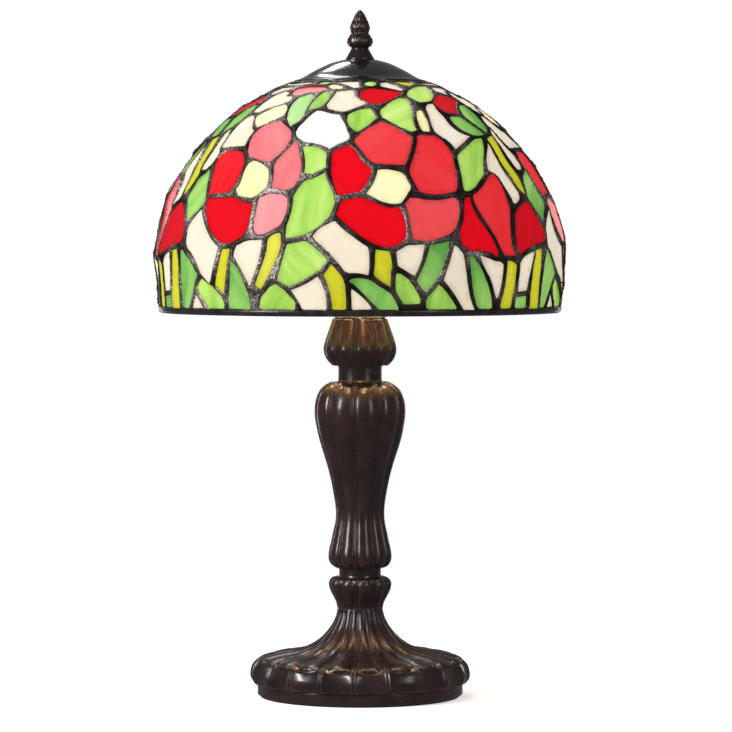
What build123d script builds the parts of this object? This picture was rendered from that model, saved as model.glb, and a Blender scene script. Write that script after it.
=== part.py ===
"""Stained glass table lamp: a lobed bronze column and foot under a leaded glass dome shade.

Units are millimetres. The lamp stands on z = 0 with its axis on Z. The front faces -Y and the
cord inlet is at the back, on +Y.
"""
import os
from math import asin, atan2, cos, degrees, hypot, pi, radians, sin

from build123d import *

os.makedirs("parts", exist_ok=True)

# ---- driving dimensions ----
DOME_RADIUS = 154.0          # outer face of the shade
DOME_CENTRE_Z = 308.0
RIM_RADIUS = 147.5
RIM_Z = 284.0
KNEE_ANGLE = asin(22 / 154)  # where the straight skirt meets the dome
LEAD_OUT = 0.4               # solder stands this far above the dome
LEAD_IN = 4.4                # and reaches this far below it
NET_START = 4.8              # solder net, as distance up the shade from the rim
NET_END = 214.2
GLASS_THICK = 3.0
GLASS_DEPTH = 2.0            # middle of a pane below the dome
GLASS_TUCK = 0.7             # how far a pane reaches under the solder past its listed outline
CUT_HALF = 6.0               # half depth of the window cut for a pane
REPEATS = 3                  # the pattern runs three times round the shade
SHARP_TURN = 40.0            # an outline point that turns more than this is a corner

TUBE_RADIUS = 5.0
TUBE_BORE = 3.4
TUBE_HOLE = 5.15             # clearance hole for the tube
TUBE_BOTTOM = 7.0
TUBE_TOP = 292.0
COLUMN_LOBES = 10
COLUMN_PHASE = -8.5
FOOT_LOBES = 20
FOOT_PHASE = -3.3
STUD_RADIUS = 3.1
STUD_HOLE = 3.25
INLET_Z = 16.5
SCREW_CIRCLE = 50.0
INLET_BORE = 3.2
SWITCH_Z = 316.0

# One third of the shade. Each pane is listed by glass colour, as outline points
# (azimuth in degrees, distance up the shade from the rim in mm).
PANES = {
    "red_petal": [
        [(-53.5, 118), (-51.5, 124), (-48, 125.3), (-44, 123.3), (-41.4, 118), (-40.2, 111), (-40.2, 102),
         (-40.8, 95), (-42, 90.5), (-50.2, 89.3), (-51, 96), (-52.4, 106)],
        [(-48.6, 84), (-42, 85.5), (-38.5, 85), (-34.8, 82), (-32, 80), (-32.2, 70), (-33.6, 60), (-36, 54.5),
         (-39.5, 52.7), (-43, 56.5), (-46.3, 64.5), (-48.3, 73)],
        [(-8.7, 122), (-6.5, 126), (-3.8, 127.6), (-2.4, 126), (-0.2, 116.3), (2.7, 106.5), (2.4, 100),
         (1.2, 94.5), (-0.4, 90), (-6.3, 88.2), (-7.8, 98), (-8.7, 110)],
        [(-5.2, 80.5), (-3, 83.8), (0.2, 85.2), (4, 82), (10.8, 78.5), (12.3, 68), (12.3, 58), (10, 50.7),
         (6, 50.2), (1.8, 55), (-3.5, 66), (-6.1, 73.5)],
        [(-0.7, 129), (1.6, 122), (3.4, 117), (7, 114.4), (14, 112.6), (15.7, 121), (18.4, 136.4), (14.5, 145),
         (10.4, 151), (7.8, 152.3), (3.4, 146.5), (0, 140), (-1.4, 133.6)],
        [(21.2, 137), (24, 138.6), (27.6, 137.6), (30.2, 133.5), (31, 124), (31, 110), (29.6, 98), (28.2, 91.2),
         (22, 88.5), (17.4, 92), (16, 100), (16.2, 110), (18.6, 121), (20.4, 130)],
        [(14.5, 85.6), (17.4, 83), (21, 82.7), (27.6, 84.8), (28.8, 79), (28.2, 71), (25.8, 63), (21.6, 56),
         (14.6, 55.4), (13.9, 64), (13.6, 73), (12.9, 81)],
        [(32.6, 85), (31.2, 81), (30.2, 71), (29, 59), (29.2, 52.5), (31, 49), (35, 46.8), (39.3, 42.4),
         (39.3, 50), (36.8, 61), (34, 73)],
        [(44.5, 103.5), (41.6, 98.5), (38.4, 93), (35, 87.5), (35.2, 80), (37.4, 71), (39.6, 62), (41.4, 50),
         (42.6, 44.6), (46, 43.6), (45.6, 52), (46.3, 62), (47.2, 76), (47.4, 89), (46.4, 98)],
        [(56.3, 80.5), (52.8, 77.5), (50, 71.5), (48.3, 61), (47.6, 50), (48, 44.6), (51.6, 49.3), (57, 52),
         (61.7, 55.5), (61.7, 62), (60.2, 71), (58.3, 79)],
        [(39.6, 177), (39.2, 168.6), (40.6, 165.2), (48.4, 164.6), (51, 171), (59.6, 180), (54, 185),
         (48.8, 188.6), (43, 182.5)],
        [(0.2, 185), (2.6, 194.5), (8, 198.4), (16, 195.7), (23.4, 190), (16, 181), (9.8, 175), (5.5, 175.6),
         (1.6, 180)],
        [(-42.8, 190), (-43.8, 196), (-40, 201.4), (-32, 202.6), (-25, 201.2), (-20.8, 196.8), (-27.5, 192.8),
         (-37, 187.8)],
    ],
    "rose_petal": [
        [(-41.2, 147.5), (-38, 152), (-33.6, 153.6), (-30.4, 149.5), (-26.4, 142), (-25.7, 134), (-26.7, 125),
         (-30.3, 114.5), (-34, 116.8), (-39, 120), (-41.4, 128), (-42.7, 138)],
        [(-23.2, 132.8), (-25.4, 124), (-27.6, 114.5), (-26.9, 104), (-26, 94.4), (-23, 91.5), (-20, 94),
         (-18.8, 103), (-18.9, 112), (-20.5, 122), (-21.6, 128)],
        [(-30, 85.8), (-27, 87), (-23.2, 88.4), (-21.4, 84), (-21.2, 75), (-22.6, 68), (-25.2, 61.6), (-28.6, 59.4),
         (-29.8, 66), (-30.2, 77)],
    ],
    "yellow_heart": [
        [(-36.4, 115.4), (-38.2, 111), (-38.4, 103), (-39.2, 93), (-38, 88.3), (-34.5, 86.6), (-31.6, 87.5),
         (-29.6, 93), (-29, 101), (-30, 108), (-32.4, 112.5)],
        [(6, 105.7), (10, 105.3), (13.4, 102), (14.8, 95), (13.4, 88), (11.6, 82.2), (8, 81.9), (4.6, 85.2),
         (2.1, 89), (3.9, 96)],
        [(-49.5, 160.5), (-45.4, 168.5), (-38, 173.5), (-36.4, 171), (-34.8, 160), (-37.6, 156.5),
         (-43.4, 148.4), (-46.6, 153)],
        [(25.8, 164), (27.3, 164.6), (27.9, 156), (27.3, 148.5), (26.2, 143.2), (24.6, 143.4), (24.1, 153)],
        [(-22, 203.4), (-19.6, 205.3), (-15, 204), (-10.8, 200.4), (-12.6, 197.2), (-18.5, 198.2)],
    ],
    "cream_ground": [
        [(-52.2, 13.4), (-49.2, 5.7), (-53.8, 5.7)],
        [(-50.7, 75.6), (-53.7, 69.5), (-55.5, 60), (-54.4, 49), (-52.1, 42.5), (-47.8, 29.5), (-44.7, 24),
         (-43.6, 35), (-42, 49), (-45.4, 55), (-48.4, 64)],
        [(-35.9, 42), (-35, 50.4), (-27.7, 54), (-27.9, 45), (-29.4, 33), (-31.3, 22.5), (-33, 30)],
        [(-18.6, 18.7), (-14.5, 23), (-11.6, 27.5), (-9.9, 19), (-9.4, 5.7), (-15.6, 5.7)],
        [(-12.5, 57.5), (-10.6, 63), (-7, 66.8), (-1.3, 55.4), (1.9, 49.6), (2.3, 41), (1.9, 30.5), (-4.1, 33),
         (-8, 45)],
        [(-2.2, 19.3), (0.5, 13.5), (3.2, 5.7), (-1.9, 5.7)],
        [(10, 46.4), (13.8, 50.2), (17.2, 50.8), (16.6, 42), (14.6, 30), (10.6, 37)],
        [(26.3, 49), (28.6, 41), (30, 28), (32.5, 5.7), (29.9, 5.7), (23.8, 26), (25.3, 38)],
        [(33.9, 43.2), (36.2, 41), (42, 35.6), (41.9, 27), (40.9, 14.5), (39.9, 21.5), (37, 31.5)],
        [(49.4, 37), (52.5, 41.8), (55.2, 45.3), (54.2, 32), (52.8, 18.6), (49.6, 17.8)],
        [(-24.2, 143), (-21.7, 154), (-18.5, 163.8), (-9.2, 160), (-4.9, 143.5), (-4.4, 135.5), (-10.4, 126.4),
         (-15.3, 131.6), (-22, 136.5)],
        [(34, 173), (36.8, 174), (36.8, 162), (38, 152), (40.2, 143), (43.6, 138.4), (38.6, 132.6),
         (34.2, 127), (33, 133.5), (30, 141), (29.5, 149), (31.1, 161), (32.5, 167.5)],
        [(-19.4, 209.8), (-11, 211.1), (-1.2, 211.3), (-0.7, 199.6), (-4.2, 199.6), (-9, 203.6), (-14, 207.4)],
        [(-15.6, 173), (-13.2, 192), (-4.6, 192.3), (-1.2, 182), (2.2, 175.2), (-4, 168), (-7.5, 165.6),
         (-13.6, 169)],
        [(50.2, 130.5), (47.6, 122.5), (45.4, 115), (44.8, 109), (47.4, 101.5), (49.3, 92), (50.3, 83),
         (52.6, 86), (54, 90), (53, 99), (51.6, 108), (51, 119)],
        [(59.2, 142), (59, 130), (59.2, 118), (60.3, 110.5), (62.5, 109.6), (63.6, 115), (63.8, 124), (62.4, 131),
         (61.6, 139), (60.8, 146)],
        [(-55.8, 128.5), (-57, 138), (-57.6, 147), (-56.4, 156), (-53.4, 161.4), (-51.2, 159), (-48.4, 151.5),
         (-44.4, 144.5), (-44.3, 136), (-43.4, 129.3)],
        [(-54.2, 165), (-50.4, 165), (-46.5, 171.5), (-40, 176.6), (-38, 180), (-40, 186), (-45.4, 187),
         (-46.6, 193), (-52, 194), (-55, 187), (-56, 176)],
        [(15.4, 208.3), (19.4, 209.9), (26, 201), (27, 195.4), (24.4, 194.3), (18.5, 198.4), (14.2, 201)],
        [(46.4, 211), (49, 208.3), (56, 206.2), (66, 205.8), (78, 206.2), (84, 208.4), (80, 210.7), (62, 211.4)],
        [(54.6, 201.4), (54.2, 195.6), (58, 191.5), (65, 195.6), (71, 198.4), (70, 201.4), (62, 202.4)],
    ],
    "leaf_green": [
        [(-57.2, 45), (-54.4, 39), (-51, 29.6), (-53.4, 17.5), (-56.2, 5.7), (-58.6, 5.7), (-58.3, 25)],
        [(-37.3, 39), (-35.6, 34.5), (-33.4, 22.5), (-32.2, 5.7), (-38.2, 5.7), (-38, 22)],
        [(31, 41.4), (32.8, 38.6), (35.5, 29.6), (37.5, 18), (38.4, 5.7), (35, 5.7), (32.4, 22)],
        [(-55, 107.6), (-57, 104.5), (-59, 98.5), (-60.4, 91.5), (-60.4, 83.5), (-58.8, 76.5), (-56.8, 69.4),
         (-54.8, 73.6), (-52.2, 79.4), (-51.6, 85.5), (-52.8, 92), (-53.8, 100)],
        [(-2.4, 25.4), (0, 26.6), (4, 22.6), (8, 15.5), (9.8, 5.7), (5.3, 5.7), (1.7, 15)],
        [(48.8, 12.4), (52.7, 13), (52.7, 5.7), (48.8, 5.7)],
        [(19.2, 51), (24, 52.6), (23, 42), (20.4, 26), (18, 18.5), (15.6, 26), (18, 39)],
        [(-34.6, 176), (-33.4, 184.6), (-29, 188.8), (-26.6, 186.5), (-25.3, 172), (-25.9, 155), (-27.4, 148),
         (-29.6, 153), (-32.4, 162)],
        [(41.2, 157), (40.6, 151.5), (42.6, 145.5), (46.4, 140.6), (52.6, 141.4), (50.6, 149.5),
         (48.6, 156), (44.4, 158.4)],
        [(55, 144), (53.4, 150.5), (51.4, 158.5), (52.8, 167.5), (57.6, 174.2), (60.4, 173.4), (61, 165),
         (60, 155), (58, 147)],
    ],
    "light_green": [
        [(-50.9, 20.4), (-48.8, 25.2), (-44.8, 20), (-42, 13), (-41.2, 5.7), (-47, 5.7)],
        [(-19.3, 50.7), (-15.5, 53), (-12, 48), (-9, 40), (-12, 31.8), (-16, 25.7), (-19.5, 22), (-21.8, 27),
         (-20.6, 38)],
        [(-23.5, 20.6), (-20.5, 16), (-18, 10), (-18.2, 5.7), (-27.7, 5.7), (-27.2, 12.5)],
        [(9.8, 30), (12.2, 26.4), (14.5, 19), (15.8, 11.4), (12.2, 11), (10.2, 19)],
        [(21.8, 21), (24.3, 15.7), (27.3, 5.7), (19.2, 5.7), (18.9, 13.5)],
        [(-19.3, 127), (-15, 127.3), (-11.4, 122), (-10.9, 110.6), (-14.6, 104.8), (-17, 106), (-17.6, 116)],
        [(-5, 156), (-3, 163), (0.2, 166.8), (3.6, 166), (6.4, 157.8), (2.6, 149), (-1, 142.6), (-3.4, 147)],
        [(9.6, 158.5), (10.5, 167), (14.2, 175.6), (21, 182), (23.3, 180), (22.8, 168), (20.6, 144.5),
         (18.6, 143), (13.4, 151)],
        [(3, 206.1), (4.6, 209.9), (8.2, 211.4), (11.4, 209.9), (11, 205.8), (7.8, 201), (4.4, 202.2)],
        [(27.6, 183.5), (29.2, 191.5), (35, 198.6), (42.6, 202.6), (49.4, 202.6), (48, 195.6), (44.6, 188.4),
         (37.4, 179.6), (31, 177.6)],
        [(-31.4, 206.5), (-31.4, 209.8), (-27, 211.3), (-22.8, 210.1), (-22.6, 207.2), (-26.6, 205.8)],
        [(-23.3, 168), (-23.2, 181), (-20.8, 190), (-17.2, 190), (-16.8, 179), (-18.9, 170.6)],
        [(-19, 85), (-18, 94), (-14.6, 100), (-10.8, 104), (-9.2, 96), (-7.5, 85.5), (-8.4, 75),
         (-10.4, 66.6), (-14.6, 59.6), (-19.7, 57), (-19.4, 68)],
        [(48.2, 135), (44.4, 134), (39.4, 127.6), (34.8, 120), (33.4, 112), (32.2, 91.6), (35.4, 93.4), (39, 101),
         (42, 109), (44.4, 118), (46.8, 126)],
    ],
    "lime_stem": [
        [(-40.2, 47.6), (-38.1, 47.8), (-39.4, 30), (-40.2, 17.6), (-42.8, 21.6), (-41.7, 35)],
        [(-25, 56), (-23.9, 57.8), (-22.4, 58), (-23, 46), (-25.7, 32), (-27.9, 21.5), (-29, 23), (-27.8, 32),
         (-25.7, 46)],
        [(-7.7, 36), (-5.7, 30), (-4.5, 21), (-4.2, 5.7), (-7.3, 5.7), (-8, 18), (-9.3, 29.6)],
        [(4.4, 47.4), (7.6, 46), (8, 35), (8, 22.4), (5.4, 26.8), (4.1, 31), (4.2, 38)],
        [(44.3, 37.5), (47.6, 35.4), (47.2, 22), (46.2, 5.7), (43.1, 5.7), (44.2, 22)],
        [(56.6, 46.2), (59, 47.5), (59, 25), (58.6, 5.7), (55.3, 5.7), (55.5, 25)],
        [(53.2, 136), (56.6, 138), (56.8, 128), (56.8, 117), (57.4, 106.5), (57.8, 98), (56.6, 89.5),
         (55, 95), (54.4, 103), (53.2, 112), (53, 124)],
        [(22.6, 210.7), (26.4, 209.5), (30, 205.9), (34.4, 202.6), (39.4, 205.4), (43, 208), (41.4, 211),
         (32, 211.6)],
    ],
}


# ---- shade geometry ----
KNEE_RADIUS = DOME_RADIUS * cos(KNEE_ANGLE)
KNEE_Z = DOME_CENTRE_Z + DOME_RADIUS * sin(KNEE_ANGLE)
SKIRT = hypot(KNEE_RADIUS - RIM_RADIUS, KNEE_Z - RIM_Z)
SKIRT_LEAN = atan2(KNEE_RADIUS - RIM_RADIUS, KNEE_Z - RIM_Z)


def shade_profile(up, depth):
    """Radius and height of a point, depth below the outer face, up the shade from the rim."""
    if up <= SKIRT:
        radius = RIM_RADIUS + up * sin(SKIRT_LEAN) - depth * cos(SKIRT_LEAN)
        return radius, RIM_Z + up * cos(SKIRT_LEAN) + depth * sin(SKIRT_LEAN)
    angle = KNEE_ANGLE + (up - SKIRT) / DOME_RADIUS
    reach = DOME_RADIUS - depth
    return reach * cos(angle), DOME_CENTRE_Z + reach * sin(angle)


def shade_point(azimuth, up, depth):
    radius, height = shade_profile(up, depth)
    turn = radians(azimuth)
    return Vector(radius * sin(turn), -radius * cos(turn), height)


def pane_plane(points):
    """Plane of a flat pane: through the mean of its outline, facing out of the shade."""
    middle = Vector(0, 0, 0)
    facing = Vector(0, 0, 0)
    for azimuth, up in points:
        middle += shade_point(azimuth, up, GLASS_DEPTH) * (1 / len(points))
        facing += shade_point(azimuth, up, 0) - shade_point(azimuth, up, 10)
    across = Vector(-middle.Y, middle.X, 0)
    return Plane(origin=middle, x_dir=across, z_dir=facing)


def flat_outline(points, plane):
    flat = []
    for azimuth, up in points:
        place = plane.to_local_coords(shade_point(azimuth, up, GLASS_DEPTH))
        flat.append((place.X, place.Y))
    return flat


def tucked_outline(flat):
    """The outline moved out on every side, so that the pane reaches under its solder."""
    area = sum(flat[i - 1][0] * flat[i][1] - flat[i][0] * flat[i - 1][1] for i in range(len(flat)))
    out = GLASS_TUCK if area > 0 else -GLASS_TUCK
    moved = []
    for index, (x, y) in enumerate(flat):
        before = flat[index - 1]
        after = flat[(index + 1) % len(flat)]
        length_in = hypot(x - before[0], y - before[1])
        length_out = hypot(after[0] - x, after[1] - y)
        nx = (y - before[1]) / length_in + (after[1] - y) / length_out
        ny = (before[0] - x) / length_in + (x - after[0]) / length_out
        size = max(hypot(nx, ny), 1.3)
        moved.append((x + out * 2 * nx / size**2, y + out * 2 * ny / size**2))
    return moved


def turn_at(flat, index):
    before = flat[index - 1]
    here = flat[index]
    after = flat[(index + 1) % len(flat)]
    heading_in = atan2(here[1] - before[1], here[0] - before[0])
    heading_out = atan2(after[1] - here[1], after[0] - here[0])
    return abs((degrees(heading_out - heading_in) + 180) % 360 - 180)


def outline_runs(flat):
    """Split an outline at its corners: each run is drawn as one line or one smooth curve."""
    corners = [index for index in range(len(flat)) if turn_at(flat, index) > SHARP_TURN]
    if not corners:
        return []
    runs = []
    for order, start in enumerate(corners):
        stop = corners[(order + 1) % len(corners)]
        if stop <= start:
            stop += len(flat)
        runs.append([flat[index % len(flat)] for index in range(start, stop + 1)])
    return runs


def pane_solid(points, half_depth):
    """A flat pane, or the window for it, extruded both ways from its plane."""
    plane = pane_plane(points)
    flat = tucked_outline(flat_outline(points, plane))
    runs = outline_runs(flat)
    with BuildPart() as pane:
        with BuildSketch(plane):
            with BuildLine():
                if not runs:
                    Spline(*flat, periodic=True)
                for run in runs:
                    if len(run) == 2:
                        Line(*run)
                    else:
                        Spline(*run)
            make_face()
        extrude(amount=half_depth, both=True)
    return pane.part.solids()[0]


def turned(solid, step):
    return solid.rotate(Axis.Z, step * 360 / REPEATS)


def colour_panes(colour):
    return [pane_solid(points, GLASS_THICK / 2) for points in PANES[colour]]


def lobe_section(height, radius, swell, lobes, phase):
    """Closed lobed outline: swell above 0 makes round cushions, below 0 hollow flutes."""
    weights = (-1.0, 0.35, 0.6, 0.35)
    ring = []
    for step in range(lobes * 4):
        azimuth = radians(phase + step * 90 / lobes)
        reach = radius + swell * weights[step % 4]
        ring.append((reach * sin(azimuth), -reach * cos(azimuth)))
    with BuildSketch(Plane.XY.offset(height)) as section:
        with BuildLine():
            Spline(*ring, periodic=True)
        make_face()
    return section.sketch.faces()[0]


def half_section(points):
    """Closed half section of a turned piece, as (radius, height) points."""
    with BuildSketch(Plane.XZ) as section:
        with BuildLine():
            Polyline(*points, close=True)
        make_face()
    return section.sketch.faces()[0]


# ---- foot ----
FOOT_SECTIONS = [
    (10.5, 78.9, 0.8), (14.5, 79.9, 1.2), (20, 79.4, 1.2), (24.2, 77.2, 0.9), (27, 73.3, 0.1),
    (29, 67.4, -0.9), (31, 57, -1.3), (33.2, 46.2, -1.3), (37.7, 35.8, -1.1), (42.1, 29.9, -0.9),
    (46.5, 25.6, -0.8), (51, 22.2, -0.6), (55.4, 19.6, -0.4), (60, 17.7, -0.3), (65.5, 16.7, -0.1),
]
with BuildPart() as foot_casting:
    loft([lobe_section(*row, FOOT_LOBES, FOOT_PHASE) for row in FOOT_SECTIONS])
    hollow = [(0, 10), (72.5, 10), (72.5, 12.5), (75.6, 14.5), (75.6, 19.5), (72.6, 23), (63.5, 25.4),
              (51, 27.6), (41, 31), (33, 36), (28, 39), (20, 39), (20, 24), (0, 24)]
    revolve(half_section(hollow), mode=Mode.SUBTRACT)
    Cylinder(TUBE_HOLE, 200, mode=Mode.SUBTRACT)
    with Locations((0, 80, INLET_Z)):
        Cylinder(4.5, 30, rotation=(90, 0, 0), mode=Mode.SUBTRACT)
foot_casting.part.label = "foot_casting"
export_step(foot_casting.part, "parts/foot_casting.step")

with BuildPart() as plinth_band:
    plinth_line = [(69, 3), (74.1, 3), (74.1, 1.5), (75.4, 1.5), (76, 2.1), (76, 9.6), (75.2, 10.5), (69, 10.5)]
    revolve(half_section(plinth_line))
plinth_band.part.label = "plinth_band"
export_step(plinth_band.part, "parts/plinth_band.step")

with BuildPart() as ballast_weight:
    with Locations((0, 0, 18)):
        Cylinder(60, 12)
        Cylinder(TUBE_HOLE, 20, mode=Mode.SUBTRACT)
    with Locations((0, 45, 18)):
        Box(9, 50, 20, mode=Mode.SUBTRACT)
    with Locations((0, 0, 16)):
        with PolarLocations(SCREW_CIRCLE, 4, start_angle=45):
            Cylinder(1.9, 8.4, mode=Mode.SUBTRACT)
    chamfer(ballast_weight.edges().filter_by(GeomType.CIRCLE).group_by(SortBy.RADIUS)[-1], 1.2)
ballast_weight.part.label = "ballast_weight"
export_step(ballast_weight.part, "parts/ballast_weight.step")

with BuildPart() as base_plate:
    with Locations((0, 0, 2.25)):
        Cylinder(74, 1.5)
        with PolarLocations(SCREW_CIRCLE, 4, start_angle=45):
            Cylinder(2, 5, mode=Mode.SUBTRACT)
    with Locations((0, 0, 2)):
        with PolarLocations(SCREW_CIRCLE, 4, start_angle=45):
            Cone(3.6, 2.0, 1.0, mode=Mode.SUBTRACT)
base_plate.part.label = "base_plate"
export_step(base_plate.part, "parts/base_plate.step")

with BuildPart() as plate_screws:
    with Locations((0, 0, 2)):
        with PolarLocations(SCREW_CIRCLE, 4, start_angle=45):
            Cone(3.5, 1.9, 1.0)
    with Locations((0, 0, 10.2)):
        with PolarLocations(SCREW_CIRCLE, 4, start_angle=45):
            Cylinder(1.9, 15.4)
    with Locations((0, 0, 1.7)):
        with PolarLocations(SCREW_CIRCLE, 4, start_angle=45):
            Box(4.4, 0.9, 0.8, mode=Mode.SUBTRACT)
plate_screws.part.label = "plate_screws"
export_step(plate_screws.part, "parts/plate_screws.step")

with BuildPart() as felt_pad:
    with Locations((0, 0, 0.75)):
        Cylinder(73.5, 1.5)
        Cylinder(12, 5, mode=Mode.SUBTRACT)
felt_pad.part.label = "felt_pad"
export_step(felt_pad.part, "parts/felt_pad.step")

with BuildPart() as cord_bushing:
    with Locations((0, 78.3, INLET_Z)):
        Cylinder(4.5, 8.6, rotation=(90, 0, 0))
    with Locations((0, 81.8, INLET_Z)):
        Cylinder(6.2, 1.6, rotation=(90, 0, 0))
    with Locations((0, 78, INLET_Z)):
        Cylinder(INLET_BORE, 20, rotation=(90, 0, 0), mode=Mode.SUBTRACT)
    chamfer(cord_bushing.edges().group_by(Axis.Y)[-1].sort_by(SortBy.RADIUS)[-1], 0.5)
cord_bushing.part.label = "cord_bushing"
export_step(cord_bushing.part, "parts/cord_bushing.step")

# ---- threaded tube and its hardware ----
with BuildPart() as stem_tube:
    with Locations((0, 0, (TUBE_BOTTOM + TUBE_TOP) / 2)):
        Cylinder(TUBE_RADIUS, TUBE_TOP - TUBE_BOTTOM)
        Cylinder(TUBE_BORE, TUBE_TOP, mode=Mode.SUBTRACT)
    chamfer(stem_tube.edges().group_by(Axis.Z)[-1].sort_by(SortBy.RADIUS)[-1], 0.5)
stem_tube.part.label = "stem_tube"
export_step(stem_tube.part, "parts/stem_tube.step")


def hex_nut(bottom, height, across_flats, bore):
    with BuildPart() as nut:
        with BuildSketch(Plane.XY.offset(bottom)):
            RegularPolygon(across_flats / 2, 6, major_radius=False)
            Circle(bore, mode=Mode.SUBTRACT)
        extrude(amount=height)
        edge_cone = [(across_flats / 2, bottom + height), (across_flats, bottom + height),
                     (across_flats, bottom + height - across_flats / 4)]
        revolve(half_section(edge_cone), mode=Mode.SUBTRACT)
    return nut.part


with BuildPart() as foot_nut:
    add(hex_nut(7.0, 4.0, 15.0, TUBE_RADIUS))
foot_nut.part.label = "foot_nut"
export_step(foot_nut.part, "parts/foot_nut.step")

with BuildPart() as foot_washer:
    with Locations((0, 0, 11.5)):
        Cylinder(12, 1.0)
        Cylinder(TUBE_HOLE, 5, mode=Mode.SUBTRACT)
foot_washer.part.label = "foot_washer"
export_step(foot_washer.part, "parts/foot_washer.step")

with BuildPart() as bracket_nut:
    add(hex_nut(282.7, 4.0, 15.0, TUBE_RADIUS))
bracket_nut.part.label = "bracket_nut"
export_step(bracket_nut.part, "parts/bracket_nut.step")

# ---- column ----
COLLAR_SECTIONS = [
    (65.5, 16.9, 0.3), (69, 17.4, 0.4), (73.2, 19.2, 0.6), (77.5, 21.3, 0.8), (81, 22.4, 0.9),
    (84.5, 22.6, 0.8), (87, 21.4, 0.5), (88.6, 18.4, 0.1),
]
with BuildPart() as foot_collar:
    loft([lobe_section(*row, COLUMN_LOBES, COLUMN_PHASE) for row in COLLAR_SECTIONS])
    Cylinder(TUBE_HOLE, 400, mode=Mode.SUBTRACT)
foot_collar.part.label = "foot_collar"
export_step(foot_collar.part, "parts/foot_collar.step")

with BuildPart() as lower_neck:
    neck_line = [(TUBE_HOLE, 88.6), (15.9, 88.6), (15.4, 89.6), (15.4, 94.3), (15.9, 95.3), (TUBE_HOLE, 95.3)]
    revolve(half_section(neck_line))
lower_neck.part.label = "lower_neck"
export_step(lower_neck.part, "parts/lower_neck.step")

BALUSTER_SECTIONS = [
    (95.3, 18.1, 0.2), (97.5, 20.9, 0.7), (100.5, 22.5, 0.9), (104, 22.9, 0.9), (109, 22.4, 0.9),
    (115, 21, 0.8), (122, 19.6, 0.7), (128.5, 18.2, 0.6), (135, 17.7, 0.6), (142, 18.1, 0.6),
    (150, 19.3, 0.7), (162, 21.6, 0.8), (175, 25.1, 0.9), (188, 29.1, 1.1), (199, 31.7, 1.2),
    (210, 33.1, 1.2), (219.4, 32.2, 1.2), (226, 29.5, 1), (230.4, 25.2, 0.6), (232.6, 21.8, 0.2),
]
with BuildPart() as baluster:
    loft([lobe_section(*row, COLUMN_LOBES, COLUMN_PHASE) for row in BALUSTER_SECTIONS])
    core = [(0, 103), (16, 103), (15, 112), (12.6, 128), (12.4, 142), (15.6, 162), (20, 179), (25.6, 200),
            (26.4, 213), (21, 225), (0, 225)]
    revolve(half_section(core), mode=Mode.SUBTRACT)
    Cylinder(TUBE_HOLE, 600, mode=Mode.SUBTRACT)
baluster.part.label = "baluster"
export_step(baluster.part, "parts/baluster.step")

with BuildPart() as upper_neck:
    neck_line = [(TUBE_HOLE, 232.6), (16.8, 232.6), (16.2, 233.8), (16.2, 243.6), (16.8, 245), (TUBE_HOLE, 245)]
    revolve(half_section(neck_line))
upper_neck.part.label = "upper_neck"
export_step(upper_neck.part, "parts/upper_neck.step")

CUP_SECTIONS = [
    (245, 20.8, 0.1), (248.2, 23.5, 0.6), (252.6, 25.8, 0.9), (257, 26.5, 1), (261.4, 25.8, 1),
    (266, 24.4, 0.9), (270.3, 22.9, 0.8), (274.7, 21.4, 0.7), (279.2, 19.9, 0.5),
]
with BuildPart() as top_cup:
    loft([lobe_section(*row, COLUMN_LOBES, COLUMN_PHASE) for row in CUP_SECTIONS])
    bowl = [(0, 250.5), (19.5, 250.5), (22.4, 257), (21.2, 264), (18.4, 273), (16.6, 280), (0, 280)]
    revolve(half_section(bowl), mode=Mode.SUBTRACT)
    Cylinder(TUBE_HOLE, 600, mode=Mode.SUBTRACT)
top_cup.part.label = "top_cup"
export_step(top_cup.part, "parts/top_cup.step")

with BuildPart() as cup_lid:
    revolve(half_section([(TUBE_HOLE, 279.2), (18.4, 279.2), (18.8, 279.8), (18.4, 280.7), (TUBE_HOLE, 280.7)]))
cup_lid.part.label = "cup_lid"
export_step(cup_lid.part, "parts/cup_lid.step")

# ---- bracket that carries the shade ----
half_frame = [(20, 280.7), (35, 291), (45, 314), (47, 345), (47, 424), (40, 443), (28, 451.5)]
mirrored_frame = [(-x, z) for x, z in reversed(half_frame)]
with BuildPart() as shade_bracket:
    with BuildSketch(Plane.XZ):
        with BuildLine():
            FilletPolyline(*half_frame, *mirrored_frame, radius=6, close=True)
        make_face()
        offset(amount=-2, mode=Mode.SUBTRACT)
    extrude(amount=7, both=True)
    with Locations((0, 0, 282)):
        Cylinder(TUBE_HOLE, 10, mode=Mode.SUBTRACT)
    with Locations((0, 0, 450)):
        Cylinder(STUD_HOLE, 10, mode=Mode.SUBTRACT)
shade_bracket.part.label = "shade_bracket"
export_step(shade_bracket.part, "parts/shade_bracket.step")

with BuildPart() as top_stud:
    with Locations((0, 0, 462.2)):
        Cylinder(STUD_RADIUS, 36.6)
    chamfer(top_stud.edges().filter_by(GeomType.CIRCLE), 0.5)
top_stud.part.label = "top_stud"
export_step(top_stud.part, "parts/top_stud.step")

with BuildPart() as stud_nut:
    add(hex_nut(445.3, 4.2, 11.0, STUD_RADIUS))
stud_nut.part.label = "stud_nut"
export_step(stud_nut.part, "parts/stud_nut.step")

with BuildPart() as jam_nut:
    add(hex_nut(451.5, 2.4, 11.0, STUD_RADIUS))
jam_nut.part.label = "jam_nut"
export_step(jam_nut.part, "parts/jam_nut.step")

with BuildPart() as seat_disc:
    revolve(half_section([(STUD_HOLE, 453.9), (36, 453.9), (36.4, 454.7), (36, 455.5), (STUD_HOLE, 455.5)]))
    with Locations((0, 0, 454.7)):
        with PolarLocations(21, 6):
            Cylinder(6.5, 5, mode=Mode.SUBTRACT)
seat_disc.part.label = "seat_disc"
export_step(seat_disc.part, "parts/seat_disc.step")

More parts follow.
